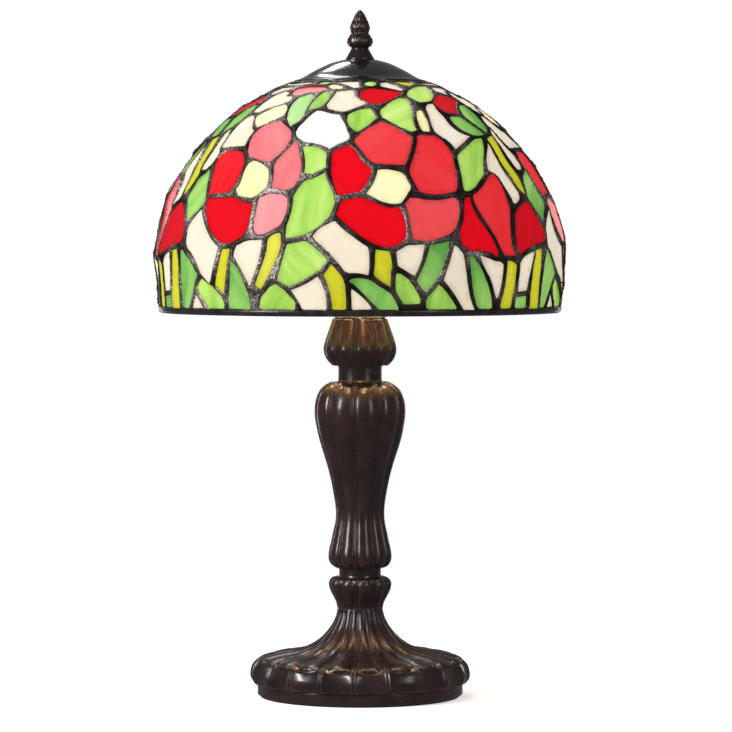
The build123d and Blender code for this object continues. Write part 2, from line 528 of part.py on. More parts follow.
# ---- shade ----
windows = []
for colour in PANES:
    for points in PANES[colour]:
        window = pane_solid(points, CUT_HALF)
        for step in range(REPEATS):
            windows.append(turned(window, step))

with BuildPart() as solder_net:
    low_out = shade_profile(NET_START, -LEAD_OUT)
    low_in = shade_profile(NET_START, LEAD_IN)
    knee_out = shade_profile(SKIRT + 0.001, -LEAD_OUT)
    knee_in = shade_profile(SKIRT + 0.001, LEAD_IN)
    top_out = shade_profile(NET_END, -LEAD_OUT)
    top_in = shade_profile(NET_END, LEAD_IN)
    with BuildSketch(Plane.XZ):
        with BuildLine():
            RadiusArc(knee_out, top_out, -(DOME_RADIUS + LEAD_OUT))
            Line(top_out, top_in)
            RadiusArc(top_in, knee_in, DOME_RADIUS - LEAD_IN)
            Polyline(knee_in, low_in, low_out, knee_out)
        make_face()
    revolve()
    add(windows, mode=Mode.SUBTRACT)
solder_net.part.label = "solder_net"
export_step(solder_net.part, "parts/solder_net.step")

with BuildPart() as red_petal_glass:
    for pane in colour_panes("red_petal"):
        for step in range(REPEATS):
            add(turned(pane, step))
red_petal_glass.part.label = "red_petal_glass"
export_step(red_petal_glass.part, "parts/red_petal_glass.step")

with BuildPart() as rose_petal_glass:
    for pane in colour_panes("rose_petal"):
        for step in range(REPEATS):
            add(turned(pane, step))
rose_petal_glass.part.label = "rose_petal_glass"
export_step(rose_petal_glass.part, "parts/rose_petal_glass.step")

with BuildPart() as yellow_heart_glass:
    for pane in colour_panes("yellow_heart"):
        for step in range(REPEATS):
            add(turned(pane, step))
yellow_heart_glass.part.label = "yellow_heart_glass"
export_step(yellow_heart_glass.part, "parts/yellow_heart_glass.step")

with BuildPart() as cream_ground_glass:
    for pane in colour_panes("cream_ground"):
        for step in range(REPEATS):
            add(turned(pane, step))
cream_ground_glass.part.label = "cream_ground_glass"
export_step(cream_ground_glass.part, "parts/cream_ground_glass.step")

with BuildPart() as leaf_green_glass:
    for pane in colour_panes("leaf_green"):
        for step in range(REPEATS):
            add(turned(pane, step))
leaf_green_glass.part.label = "leaf_green_glass"
export_step(leaf_green_glass.part, "parts/leaf_green_glass.step")

with BuildPart() as light_green_glass:
    for pane in colour_panes("light_green"):
        for step in range(REPEATS):
            add(turned(pane, step))
light_green_glass.part.label = "light_green_glass"
export_step(light_green_glass.part, "parts/light_green_glass.step")

with BuildPart() as lime_stem_glass:
    for pane in colour_panes("lime_stem"):
        for step in range(REPEATS):
            add(turned(pane, step))
lime_stem_glass.part.label = "lime_stem_glass"
export_step(lime_stem_glass.part, "parts/lime_stem_glass.step")

with BuildPart() as rim_band:
    rim_line = [
        shade_profile(4.8, -0.7), shade_profile(3.9, -1.1), shade_profile(0.8, -1.1), shade_profile(0, -0.5),
        shade_profile(0, 4.3), shade_profile(0.8, 4.9), shade_profile(3.9, 4.9), shade_profile(4.8, 4.5),
    ]
    revolve(half_section(rim_line))
rim_band.part.label = "rim_band"
export_step(rim_band.part, "parts/rim_band.step")

with BuildPart() as crown_ring:
    crown_line = [
        (28, 455.5), (36.5, 455.5), (43, 452), shade_profile(NET_END, 4.3), shade_profile(NET_END, 0.75),
        (44, 454.9), (36.5, 457.8), (28, 458.6),
    ]
    revolve(half_section(crown_line))
crown_ring.part.label = "crown_ring"
export_step(crown_ring.part, "parts/crown_ring.step")

# ---- cap and finial ----
CAP_LINE = [(16, 469), (20.7, 467.5), (27.7, 464.6), (35.5, 461.4), (41.7, 458.5), (46, 456), (48.9, 454.6)]
with BuildPart() as heat_cap:
    with BuildSketch(Plane.XZ):
        with BuildLine():
            Polyline((48.9, 454.6), (48.9, 453.7), (48.2, 453.5))
            Spline((48.2, 453.5), (41.2, 457.2), (35, 460.1), (27.2, 463.3), (16, 467.7))
            Polyline((16, 467.7), (STUD_HOLE, 468.7), (STUD_HOLE, 470.2), (11, 470.2), (16, 469))
            Spline(*CAP_LINE)
        make_face()
    revolve()
heat_cap.part.label = "heat_cap"
export_step(heat_cap.part, "parts/heat_cap.step")

with BuildPart() as finial_insert:
    with Locations((0, 0, 475.7)):
        Cylinder(4.55, 10.6)
        Cylinder(3.17, 20, mode=Mode.SUBTRACT)
finial_insert.part.label = "finial_insert"
export_step(finial_insert.part, "parts/finial_insert.step")

with BuildPart() as finial:
    with BuildSketch(Plane.XZ):
        with BuildLine():
            Line((10.6, 470.2), (6.5, 478.2))
            Spline((6.5, 478.2), (8.3, 480), (9.1, 482.6), (8.5, 485.4), (6.9, 488.2), (6.1, 490.4))
            Spline((6.1, 490.4), (7, 492.6), (7, 494.4), (5.6, 498.6), (3.8, 502.6), (1.9, 505.7), (0, 507))
            Polyline((0, 507), (0, 470.2), (10.6, 470.2))
        make_face()
    revolve()
    bore_line = [(0, 470), (4.62, 470), (4.62, 481.2), (3.5, 481.2), (3.5, 483.4), (0, 485)]
    revolve(half_section(bore_line), mode=Mode.SUBTRACT)
finial.part.label = "finial"
export_step(finial.part, "parts/finial.step")

# ---- lamp holder ----
with BuildPart() as socket_cap:
    cap_line = [(5.2, 287), (8.2, 287), (8.6, 294), (13, 297), (17.6, 302), (19, 307), (19, 311), (18, 311),
                (18, 307.4), (16.8, 302.8), (12.4, 298.2), (7.4, 295.4), (5.2, 295)]
    revolve(half_section(cap_line))
socket_cap.part.label = "socket_cap"
export_step(socket_cap.part, "parts/socket_cap.step")

with BuildPart() as socket_shell:
    shell_line = [(17.9, 311), (18.7, 311), (18.4, 314), (18.4, 344), (18.8, 347), (19.3, 350), (18.5, 350),
                  (18, 347), (17.6, 344), (17.6, 314)]
    revolve(half_section(shell_line))
    with Locations((0, -18, SWITCH_Z)):
        Cylinder(2.4, 8, rotation=(90, 0, 0), mode=Mode.SUBTRACT)
socket_shell.part.label = "socket_shell"
export_step(socket_shell.part, "parts/socket_shell.step")

with BuildPart() as insulating_sleeve:
    with Locations((0, 0, 329)):
        Cylinder(17.5, 38)
        Cylinder(16.7, 50, mode=Mode.SUBTRACT)
    with Locations((0, -17, SWITCH_Z)):
        Cylinder(2.4, 8, rotation=(90, 0, 0), mode=Mode.SUBTRACT)
insulating_sleeve.part.label = "insulating_sleeve"
export_step(insulating_sleeve.part, "parts/insulating_sleeve.step")

with BuildPart() as socket_interior:
    with Locations((0, 0, 314)):
        Cylinder(16.2, 16)
    with Locations((0, -12, SWITCH_Z)):
        Cylinder(1.7, 16, rotation=(90, 0, 0), mode=Mode.SUBTRACT)
    with Locations((0, 0, 322)):
        Cylinder(5, 1.2, mode=Mode.SUBTRACT)
socket_interior.part.label = "socket_interior"
export_step(socket_interior.part, "parts/socket_interior.step")

with BuildPart() as contact_spring:
    with Locations((0, 0, 322.1)):
        Cylinder(4.4, 1.2)
    with Locations((0, 0, 323.2)):
        Cylinder(2.6, 1.0)
contact_spring.part.label = "contact_spring"
export_step(contact_spring.part, "parts/contact_spring.step")

with BuildPart() as screw_shell:
    with Locations((0, 0, 335.2)):
        Cylinder(14, 26)
        Cylinder(13.35, 40, mode=Mode.SUBTRACT)
screw_shell.part.label = "screw_shell"
export_step(screw_shell.part, "parts/screw_shell.step")

with BuildPart() as switch_shaft:
    with Locations((0, -19, SWITCH_Z)):
        Cylinder(1.65, 28, rotation=(90, 0, 0))
    chamfer(switch_shaft.edges().group_by(Axis.Y)[0], 0.3)
switch_shaft.part.label = "switch_shaft"
export_step(switch_shaft.part, "parts/switch_shaft.step")

with BuildPart() as switch_knob:
    with Locations((0, -31.5, SWITCH_Z)):
        Cylinder(5, 9, rotation=(90, 0, 0))
    chamfer(switch_knob.edges().group_by(Axis.Y)[0], 0.8)
    with Locations((0, -29.9, SWITCH_Z)):
        Cylinder(1.66, 6.4, rotation=(90, 0, 0), mode=Mode.SUBTRACT)
    with Locations(Plane(origin=(0, -31.5, SWITCH_Z), x_dir=(1, 0, 0), z_dir=(0, -1, 0))):
        with PolarLocations(5.2, 12):
            Cylinder(0.6, 20, mode=Mode.SUBTRACT)
switch_knob.part.label = "switch_knob"
export_step(switch_knob.part, "parts/switch_knob.step")

with BuildPart() as bulb_contact:
    with Locations((0, 0, 324.7)):
        Cylinder(4.2, 1.6)
    chamfer(bulb_contact.edges().group_by(Axis.Z)[0], 0.4)
bulb_contact.part.label = "bulb_contact"
export_step(bulb_contact.part, "parts/bulb_contact.step")

with BuildPart() as bulb_base:
    base_line = [(0, 325.7), (5, 325.7), (9.5, 328), (11.6, 329.6)]
    for turn in range(5):
        base_line.append((13.15, 331.4 + turn * 3.6))
        base_line.append((12.3, 333.2 + turn * 3.6))
    base_line.extend([(13.15, 349.4), (13.15, 351), (0, 351)])
    revolve(half_section(base_line))
bulb_base.part.label = "bulb_base"
export_step(bulb_base.part, "parts/bulb_base.step")

with BuildPart() as bulb_glass:
    with BuildSketch(Plane.XZ):
        with BuildLine():
            Spline((12.8, 351), (13.4, 356), (16.4, 363), (20.8, 372), (24.2, 382), (25, 392), (23, 402.5),
                   (17.6, 410.5), (9, 415), (0, 416))
            Polyline((0, 416), (0, 415))
            Spline((0, 415), (8.6, 414), (16.9, 409.7), (22.1, 402), (24, 392), (23.3, 382.4), (19.9, 372.4),
                   (15.5, 363.4), (12.5, 356.2), (11.9, 351))
            Line((11.9, 351), (12.8, 351))
        make_face()
    revolve()
bulb_glass.part.label = "bulb_glass"
export_step(bulb_glass.part, "parts/bulb_glass.step")
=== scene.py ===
import math

import bmesh
import bpy
import numpy as np
from mathutils import Matrix, Vector, geometry, kdtree, noise


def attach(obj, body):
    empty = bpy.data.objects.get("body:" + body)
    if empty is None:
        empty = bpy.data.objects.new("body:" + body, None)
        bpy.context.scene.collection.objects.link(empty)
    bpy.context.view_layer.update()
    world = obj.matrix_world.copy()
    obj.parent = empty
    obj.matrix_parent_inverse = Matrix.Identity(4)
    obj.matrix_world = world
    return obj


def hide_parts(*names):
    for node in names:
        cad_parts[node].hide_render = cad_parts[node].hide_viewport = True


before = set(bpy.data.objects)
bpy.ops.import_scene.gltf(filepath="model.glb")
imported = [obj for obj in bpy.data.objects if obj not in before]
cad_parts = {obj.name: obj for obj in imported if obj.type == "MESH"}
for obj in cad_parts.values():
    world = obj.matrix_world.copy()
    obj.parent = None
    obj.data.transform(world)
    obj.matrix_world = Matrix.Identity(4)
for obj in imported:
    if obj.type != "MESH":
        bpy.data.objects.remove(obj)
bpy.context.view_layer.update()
MM = 0.001

# ---------------------------------------------------------------- node helpers


def make(tree, kind, inputs=(), **settings):
    """A shader node with its settings and input values or links."""
    made = tree.nodes.new(kind)
    for key, value in settings.items():
        setattr(made, key, value)
    for key, value in dict(inputs).items():
        if isinstance(value, bpy.types.NodeSocket):
            tree.links.new(value, made.inputs[key])
        else:
            made.inputs[key].default_value = value
    return made


def ramp(tree, factor, *stops):
    """A colour ramp: stops are (position, colour)."""
    made = make(tree, "ShaderNodeValToRGB", {"Fac": factor})
    elements = made.color_ramp.elements
    for index, (position, colour) in enumerate(stops):
        element = elements[index] if index < 2 else elements.new(position)
        element.position = position
        element.color = (*colour, 1)
    return made.outputs["Color"]


def spread(tree, value, low, high):
    """Noise stretched to run from low to high."""
    return ranged(tree, value, (0.3, 0.7), (low, high))


def computed(tree, operation, first, second):
    """Two values added, multiplied or otherwise put together."""
    return make(tree, "ShaderNodeMath", {0: first, 1: second}, operation=operation).outputs["Value"]


def ranged(tree, value, source, target, **settings):
    """A value moved from one (low, high) range to another, and held within it."""
    made = make(tree, "ShaderNodeMapRange", {"Value": value, "From Min": source[0], "From Max": source[1],
                                             "To Min": target[0], "To Max": target[1]}, **settings)
    return made.outputs["Result"]


def grain(tree, scale, detail, vector=None, stretch=None):
    """Noise in metres: scale 100 has features of about 10 mm."""
    if vector is None:
        vector = make(tree, "ShaderNodeTexCoord").outputs["Object"]
    if stretch:
        vector = make(tree, "ShaderNodeMapping", {"Vector": vector, "Scale": stretch}).outputs["Vector"]
    made = make(tree, "ShaderNodeTexNoise", {"Vector": vector, "Scale": scale, "Detail": detail})
    return made.outputs["Fac"]


def mixed(tree, factor, first, second, blend="MIX"):
    """Two colours mixed by a factor, each a colour or a link."""
    made = make(tree, "ShaderNodeMix", {"Factor": factor}, data_type="RGBA", blend_type=blend)
    for socket, value in ((made.inputs[6], first), (made.inputs[7], second)):
        if isinstance(value, bpy.types.NodeSocket):
            tree.links.new(value, socket)
        else:
            socket.default_value = (*value, 1)
    return made.outputs[2]


def bumped(tree, height, distance, strength, under=None):
    """A fine relief, distance in metres, on top of another one if it is given."""
    inputs = {"Height": height, "Distance": distance, "Strength": strength}
    if under is not None:
        inputs["Normal"] = under
    return make(tree, "ShaderNodeBump", inputs).outputs["Normal"]


def new_material(name):
    """An empty material with its node tree and its main shader."""
    material = bpy.data.materials.new(name)
    material.use_nodes = True
    tree = material.node_tree
    return material, tree, tree.nodes["Principled BSDF"]


def finish_shader(tree, shader, inputs):
    """Set the shader's inputs: links, colours or plain values."""
    for key, value in inputs.items():
        if isinstance(value, bpy.types.NodeSocket):
            tree.links.new(value, shader.inputs[key])
        elif isinstance(value, tuple) and len(value) == 3:
            shader.inputs[key].default_value = (*value, 1)
        else:
            shader.inputs[key].default_value = value


# ---------------------------------------------------------------- materials


def bronze_material():
    """Dark chocolate lacquer on a casting: softly mottled, rubbed lighter on its edges."""
    material, tree, shader = new_material("antique_bronze")
    pointed = make(tree, "ShaderNodeNewGeometry").outputs["Pointiness"]
    mottle = grain(tree, 45, 4)
    body = ramp(tree, mottle, (0.35, (0.010, 0.0043, 0.0043)), (0.65, (0.022, 0.0098, 0.0096)))
    rubbed = ranged(tree, pointed, (0.505, 0.56), (0, 0.75))
    colour = mixed(tree, rubbed, body, (0.058, 0.034, 0.031))
    hollow = ranged(tree, pointed, (0.40, 0.49), (0.85, 0))
    colour = mixed(tree, hollow, colour, (0.006, 0.003, 0.0025))
    fine = bumped(tree, grain(tree, 1400, 2), 0.000016, 0.6)
    finish_shader(tree, shader, {
        "Base Color": colour, "Roughness": spread(tree, grain(tree, 70, 3), 0.20, 0.33),
        "Metallic": 0.1, "Specular IOR Level": 0.5, "Coat Weight": 0.15, "Coat Roughness": 0.12,
        "Normal": bumped(tree, grain(tree, 180, 2), 0.00012, 0.5, fine),
    })
    return material


def solder_material():
    """Solder with a dark patina: lumpy, speckled in patches with bare silvery metal."""
    material, tree, shader = new_material("patina_solder")
    patches = grain(tree, 36, 3)
    speck = grain(tree, 700, 4)
    both = computed(tree, "MULTIPLY", patches, speck)
    bare = ranged(tree, both, (0.29, 0.42), (0, 1))
    dark = ramp(tree, patches, (0.40, (0.014, 0.010, 0.009)), (0.60, (0.110, 0.090, 0.080)))
    fine = bumped(tree, grain(tree, 1500, 3), 0.00025, 0.7)
    finish_shader(tree, shader, {
        "Base Color": mixed(tree, bare, dark, (0.46, 0.42, 0.39)), "Metallic": 0.75,
        "Roughness": spread(tree, speck, 0.30, 0.52), "Specular IOR Level": 0.5,
        "Normal": bumped(tree, grain(tree, 480, 3), 0.0006, 0.8, fine),
    })
    return material


def lead_material():
    """Blackened lead channel round the rim: smooth and darker than the seams."""
    material, tree, shader = new_material("blackened_lead")
    mottle = grain(tree, 140, 4)
    finish_shader(tree, shader, {
        "Base Color": ramp(tree, mottle, (0.35, (0.010, 0.009, 0.008)), (0.7, (0.028, 0.025, 0.023))),
        "Metallic": 0.35, "Roughness": spread(tree, grain(tree, 220, 3), 0.2, 0.36),
        "Normal": bumped(tree, grain(tree, 320, 3), 0.0003, 0.6),
    })
    return material


def plain_material(name, dark, light, roughness, metallic, scale, bump, coat=0.0, stretch=None):
    """A finish with mottled colour, uneven gloss and a fine surface."""
    material, tree, shader = new_material(name)
    spots = grain(tree, scale, 4, stretch=stretch)
    gloss = grain(tree, scale * 2, 3, stretch=stretch)
    finish_shader(tree, shader, {
        "Base Color": ramp(tree, spots, (0.3, dark), (0.7, light)), "Metallic": metallic,
        "Roughness": spread(tree, gloss, roughness * 0.8, roughness * 1.25),
        "Coat Weight": coat, "Coat Roughness": 0.08,
        "Normal": bumped(tree, grain(tree, scale * 9, 3, stretch=stretch), bump, 0.6),
    })
    return material


BULB_MIDDLE = (0, 0, 0.385)


def glass_material(name, deep, middle, pale, glow, streaks):
    """Opalescent sheet glass with a painted glow that stands in for the bulb's light shining through it,
    brighter nearer the bulb: streaky, each pane with its own tone, and painted shade at its edges.
    """
    material, tree, shader = new_material(name)
    swirl = make(tree, "ShaderNodeAttribute", attribute_name="swirl").outputs["Vector"]
    tone = make(tree, "ShaderNodeAttribute", attribute_name="tone").outputs["Fac"]
    cloud = grain(tree, 26, 3, swirl, (1.0, 0.35, 1.0))
    thread = grain(tree, 90, 4, swirl, (1.0, 0.16, 1.0))
    waver = computed(tree, "ADD", cloud, thread)
    level = computed(tree, "ADD", tone, ranged(tree, waver, (0.7, 1.3), (-streaks, streaks)))
    colour = ramp(tree, level, (0.0, deep), (0.5, middle), (1.0, pale))
    # Painted glow: the panes emit light that stands in for the bulb's light shining through them, brighter
    # nearer the bulb.
    place = make(tree, "ShaderNodeTexCoord").outputs["Object"]
    apart = make(tree, "ShaderNodeVectorMath", {0: place, 1: BULB_MIDDLE}, operation="DISTANCE")
    painted_glow = ranged(tree, apart.outputs["Value"], (0.10, 0.185), (glow * 1.2, glow * 0.85))
    # Painted shade: the glow dims to 0.62 of its strength at each pane's outline, so the edges next to the
    # solder look darker.
    painted_edge_shade_mask = make(tree, "ShaderNodeAttribute", attribute_name="inward").outputs["Fac"]
    painted_glow = computed(tree, "MULTIPLY", painted_glow, ranged(tree, painted_edge_shade_mask, (0, 1), (0.62, 1)))
    ripple = grain(tree, 75, 2, swirl, (1.0, 0.45, 1.0))
    finish_shader(tree, shader, {
        "Base Color": mixed(tree, 1.0, colour, (0.3, 0.3, 0.3), "MULTIPLY"), "Roughness": 0.26,
        "Specular IOR Level": 0.1, "Emission Color": colour, "Emission Strength": painted_glow,
        "Normal": bumped(tree, ripple, 0.0005, 0.3),
    })
    return material


def bulb_material():
    """Frosted lit bulb, brighter in its belly than at its neck."""
    material, tree, shader = new_material("lit_bulb")
    place = make(tree, "ShaderNodeTexCoord").outputs["Object"]
    height = make(tree, "ShaderNodeSeparateXYZ", {"Vector": place}).outputs["Z"]
    level = ranged(tree, height, (0.352, BULB_MIDDLE[2]), (40, 110))
    finish_shader(tree, shader, {
        "Base Color": (0.95, 0.93, 0.88), "Roughness": 0.3, "Emission Color": (1.0, 0.80, 0.52),
        "Emission Strength": level, "Normal": bumped(tree, grain(tree, 900, 2), 0.0001, 0.4),
    })
    return material


BRONZE = bronze_material()
SOLDER = solder_material()
LEAD = lead_material()
BLACK_GLOSS = plain_material("black_enamel", (0.006, 0.0055, 0.006), (0.013, 0.012, 0.012), 0.16, 0.1, 60,
                             0.00012, 0.6)
STEEL = plain_material("zinc_steel", (0.42, 0.42, 0.43), (0.62, 0.62, 0.63), 0.32, 1.0, 300, 0.00005)
BRASS = plain_material("brass", (0.50, 0.34, 0.12), (0.70, 0.50, 0.22), 0.28, 1.0, 160, 0.00006)
IRON = plain_material("cast_iron", (0.035, 0.035, 0.037), (0.085, 0.083, 0.082), 0.62, 0.8, 500, 0.0004)
ALUMINIUM = plain_material("aluminium", (0.60, 0.60, 0.61), (0.75, 0.75, 0.76), 0.3, 1.0, 260, 0.00005)
FELT = plain_material("felt", (0.010, 0.011, 0.010), (0.030, 0.032, 0.029), 0.95, 0.0, 900, 0.0006)
PLASTIC = plain_material("black_plastic", (0.010, 0.010, 0.010), (0.022, 0.021, 0.020), 0.42, 0.0, 400,
                         0.00008)
FIBRE = plain_material("insulating_fibre", (0.10, 0.055, 0.030), (0.19, 0.11, 0.06), 0.75, 0.0, 350, 0.0002,
                       0.0, (1, 1, 0.2))
BULB = bulb_material()

# deep, middle and pale colour of each sheet, the strength of its painted glow, and how streaky it is
GLASS = {
    "red_petal_glass": ((0.48, 0.003, 0.012), (0.78, 0.003, 0.011), (0.78, 0.060, 0.068), 0.74, 0.10),
    "rose_petal_glass": ((0.74, 0.12, 0.13), (0.86, 0.20, 0.215), (0.92, 0.32, 0.31), 0.70, 0.22),
    "yellow_heart_glass": ((0.94, 0.80, 0.34), (0.97, 0.86, 0.48), (1.0, 0.92, 0.60), 0.72, 0.25),
    "cream_ground_glass": ((0.83, 0.70, 0.52), (0.93, 0.82, 0.64), (1.0, 0.97, 0.90), 0.64, 0.16),
    "leaf_green_glass": ((0.06, 0.29, 0.035), (0.24, 0.54, 0.11), (0.45, 0.72, 0.19), 0.66, 0.38),
    "light_green_glass": ((0.17, 0.42, 0.04), (0.44, 0.74, 0.13), (0.72, 0.92, 0.30), 0.66, 0.40),
    "lime_stem_glass": ((0.40, 0.42, 0.010), (0.66, 0.64, 0.025), (0.80, 0.76, 0.07), 0.66, 0.24),
}

# ---------------------------------------------------------------- mesh helpers


def add_piece(name, mesh, material, body, replaces):
    """Link a finished mesh as a piece of the model that stands for one CAD node."""
    piece = bpy.data.objects.new(name, mesh)
    bpy.context.scene.collection.objects.link(piece)
    mesh.materials.clear()
    mesh.materials.append(material)
    mesh.polygons.foreach_set("use_smooth", [True] * len(mesh.polygons))
    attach(piece, body)
    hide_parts(replaces)


def curve_through(rows, step):
    """Rows along a smooth curve through given rows. The first two columns are radius and height."""
    rows = np.array(rows, float)
    gap = np.hypot(*(rows[1:, :2] - rows[:-1, :2]).T)
    slope = (rows[1:] - rows[:-1]) / gap[:, None]
    tangent = np.empty_like(rows)
    tangent[0] = slope[0]
    tangent[-1] = slope[-1]
    weighted = slope[:-1] * gap[1:, None] + slope[1:] * gap[:-1, None]
    tangent[1:-1] = weighted / (gap[1:] + gap[:-1])[:, None]
    out = []
    for index, length in enumerate(gap):
        count = max(1, round(length / step))
        for place in range(count):
            t = place / count
            out.append(
                (2 * t**3 - 3 * t**2 + 1) * rows[index] + (t**3 - 2 * t**2 + t) * length * tangent[index]
                + (3 * t**2 - 2 * t**3) * rows[index + 1] + (t**3 - t**2) * length * tangent[index + 1]
            )
    out.append(rows[-1])
    return np.array(out)


def rounded(points, radius):
    """A closed line of (radius, height) points with a short curve at each corner."""
    out = []
    count = len(points)
    for index in range(count):
        here = Vector(points[index])
        before = Vector(points[index - 1])
        after = Vector(points[(index + 1) % count])
        reach = min(radius, (before - here).length * 0.45, (after - here).length * 0.45)
        start = here + (before - here).normalized() * reach
        stop = here + (after - here).normalized() * reach
        for part in range(5):
            t = part / 4
            out.append(tuple((1 - t) ** 2 * start + 2 * t * (1 - t) * here + t * t * stop))
    return out


def lathe_mesh(name, line, azimuths, push=None):
    """Turn a line of (radius, height) points in mm about the axis. A line that ends on the axis gets poles;
    any other line is closed on itself. push gives each row's offsets along the line's normal, in mm."""
    line = np.array(line, float)
    poles = line[0][0] < 1e-6 and line[-1][0] < 1e-6
    ahead = np.roll(line, -1, 0)
    behind = np.roll(line, 1, 0)
    if poles:
        ahead[-1] = line[-1]
        behind[0] = line[0]
    along = ahead - behind
    along /= np.maximum(np.hypot(along[:, 0], along[:, 1]), 1e-9)[:, None]
    normal = np.stack([along[:, 1], -along[:, 0]], 1)
    turn = np.radians(azimuths)
    columns = len(turn)
    rows = []
    for index, (radius, height) in enumerate(line):
        offset = np.zeros(columns) if push is None else push(index, azimuths)
        reach = radius + normal[index][0] * offset
        lift = height + normal[index][1] * offset
        rows.append(np.stack([reach * np.sin(turn), -reach * np.cos(turn), lift], 1) * MM)
    faces = []
    if poles:
        verts = np.concatenate([rows[0][:1] * (0, 0, 1), *rows[1:-1], rows[-1][:1] * (0, 0, 1)])
        rings = len(rows) - 2
        grid = np.arange(rings * columns).reshape(rings, columns) + 1
    else:
        verts = np.concatenate(rows)
        grid = np.arange(len(rows) * columns).reshape(len(rows), columns)
    side = np.roll(grid, -1, 1)
    if poles:
        quads = np.stack([grid[:-1], side[:-1], side[1:], grid[1:]], -1).reshape(-1, 4)
        tip = len(verts) - 1
        faces += [(0, int(b), int(a)) for a, b in zip(grid[0], side[0])]
        faces += [(int(a), int(b), tip) for a, b in zip(grid[-1], side[-1])]
    else:
        up = np.roll(grid, -1, 0)
        up_side = np.roll(side, -1, 0)
        quads = np.stack([grid, side, up_side, up], -1).reshape(-1, 4)
    faces += quads.tolist()
    mesh = bpy.data.meshes.new(name)
    mesh.from_pydata(verts.tolist(), [], faces)
    face_outward(mesh)
    return mesh


def face_outward(mesh):
    """Point every face of a closed mesh outward."""
    loose = bmesh.new()
    loose.from_mesh(mesh)
    bmesh.ops.recalc_face_normals(loose, faces=loose.faces)
    if loose.calc_volume(signed=True) < 0:
        bmesh.ops.reverse_faces(loose, faces=loose.faces)
    loose.to_mesh(mesh)
    loose.free()
    mesh.update()


def even_turn(columns):
    """Azimuths in degrees, evenly spread round the axis."""
    return np.arange(columns) * 360 / columns


def ribbed_turn(lobes, phase, per_lobe):
    """Azimuths crowded round each separator, where the fine ribs and grooves are."""
    t = np.arange(per_lobe) / per_lobe
    eased = t - 0.105 * np.sin(2 * np.pi * t)
    return np.concatenate([phase + (lobe + eased) * 360 / lobes for lobe in range(lobes)])


def turned(name, node, body, material, line, radius=0.4, columns=160, push=None):
    """A plain turned piece with rounded edges that stands for one CAD node."""
    mesh = lathe_mesh(name, rounded(line, radius), even_turn(columns), push)
    add_piece(name, mesh, material, body, node)


# ---------------------------------------------------------------- lobed castings

COLUMN_LOBES = 10
COLUMN_PHASE = -8.5
FOOT_LOBES = 20
FOOT_PHASE = -3.3
LIP_RADIUS = 75.2  # where the foot's flutes end and its cushions begin
BORE = 5.15  # radius of the hole for the threaded tube

# heights in mm where one part of the lamp meets the next
FOOT_BASE = 10.5
COLLAR_BASE = 65.5
COLLAR_TOP = 88.6
BALUSTER_BASE = 95.3
BALUSTER_TOP = 232.6
CUP_BASE = 245
CUP_TOP = 279.2
LID_TOP = 280.7
HOLDER_BASE = 287
SHELL_BASE = 311
CAP_TOP = 470.2


def wobble(azimuths, height, size, seed):
    """Slow unevenness of a casting, in mm."""
    turn = np.radians(azimuths)
    slow = np.sin(3 * turn + height * 0.11 + seed)
    quick = np.sin(7 * turn - height * 0.23 + 2 * seed)
    return size * (slow + 0.6 * quick)


def separator(azimuths, radius, lobes, phase):
    """Distance in mm from the nearest separator, and half a lobe's width."""
    pitch = 2 * math.pi * radius / lobes
    place = ((azimuths - phase) / 360 * lobes) % 1
    return np.minimum(place, 1 - place) * pitch, pitch / 2


def lobe_push(away, half, swell, opening, rib):
    """Convex lobe between separators, each a thin raised rib between two fine grooves."""
    rise = np.clip((away - opening) / max(half - opening, 0.1), 0, 1)
    crown = 1 - (1 - rise) ** 2.3
    lobe = swell * (1.6 * crown - 1)
    bead = rib * np.exp(-((away / 0.62) ** 2))
    cut = 0.34 * min(1, swell) * np.exp(-(((away - opening) / 0.48) ** 2))
    return lobe + bead - cut


def lobed_casting(name, node, sections, inner, flares):
    """A stacked casting of the column: lobed outside, plain inside. sections are (height, radius, swell)."""
    rows = curve_through([(radius, height, swell) for height, radius, swell in sections], 0.55)
    line = np.concatenate([rows[:, :2], np.array(inner, float)])
    outer = len(rows)

    def push(index, azimuths):
        if index >= outer:
            return np.zeros(len(azimuths))
        radius, height, swell = rows[index]
        away, half = separator(azimuths, radius, COLUMN_LOBES, COLUMN_PHASE)
        opening = 1.25
        for level, reach, width in flares:
            near = max(0.0, 1 - abs(height - level) / reach)
            opening += width * near**2
        swell = max(swell, 0.0)
        fade = min(1.0, swell / 0.45)
        shape = lobe_push(away, half, swell, min(opening, half * 0.8), 0.5 * fade)
        return shape + wobble(azimuths, height, 0.05, 1.7)

    mesh = lathe_mesh(name, line, ribbed_turn(COLUMN_LOBES, COLUMN_PHASE, 44), push)
    add_piece(name, mesh, BRONZE, "base", node)


lobed_casting("collar_casting", "foot_collar", [
    (COLLAR_BASE, 16.9, 0.3), (69, 17.4, 0.45), (73.2, 19.2, 0.7), (77.5, 21.3, 0.95), (81, 22.4, 1.05),
    (84.5, 22.6, 1.0), (87, 21.4, 0.6), (COLLAR_TOP, 18.4, 0.1),
], [(15.9, COLLAR_TOP), (BORE, COLLAR_TOP), (BORE, COLLAR_BASE), (14, COLLAR_BASE)], [(COLLAR_TOP, 7, 2.6)])

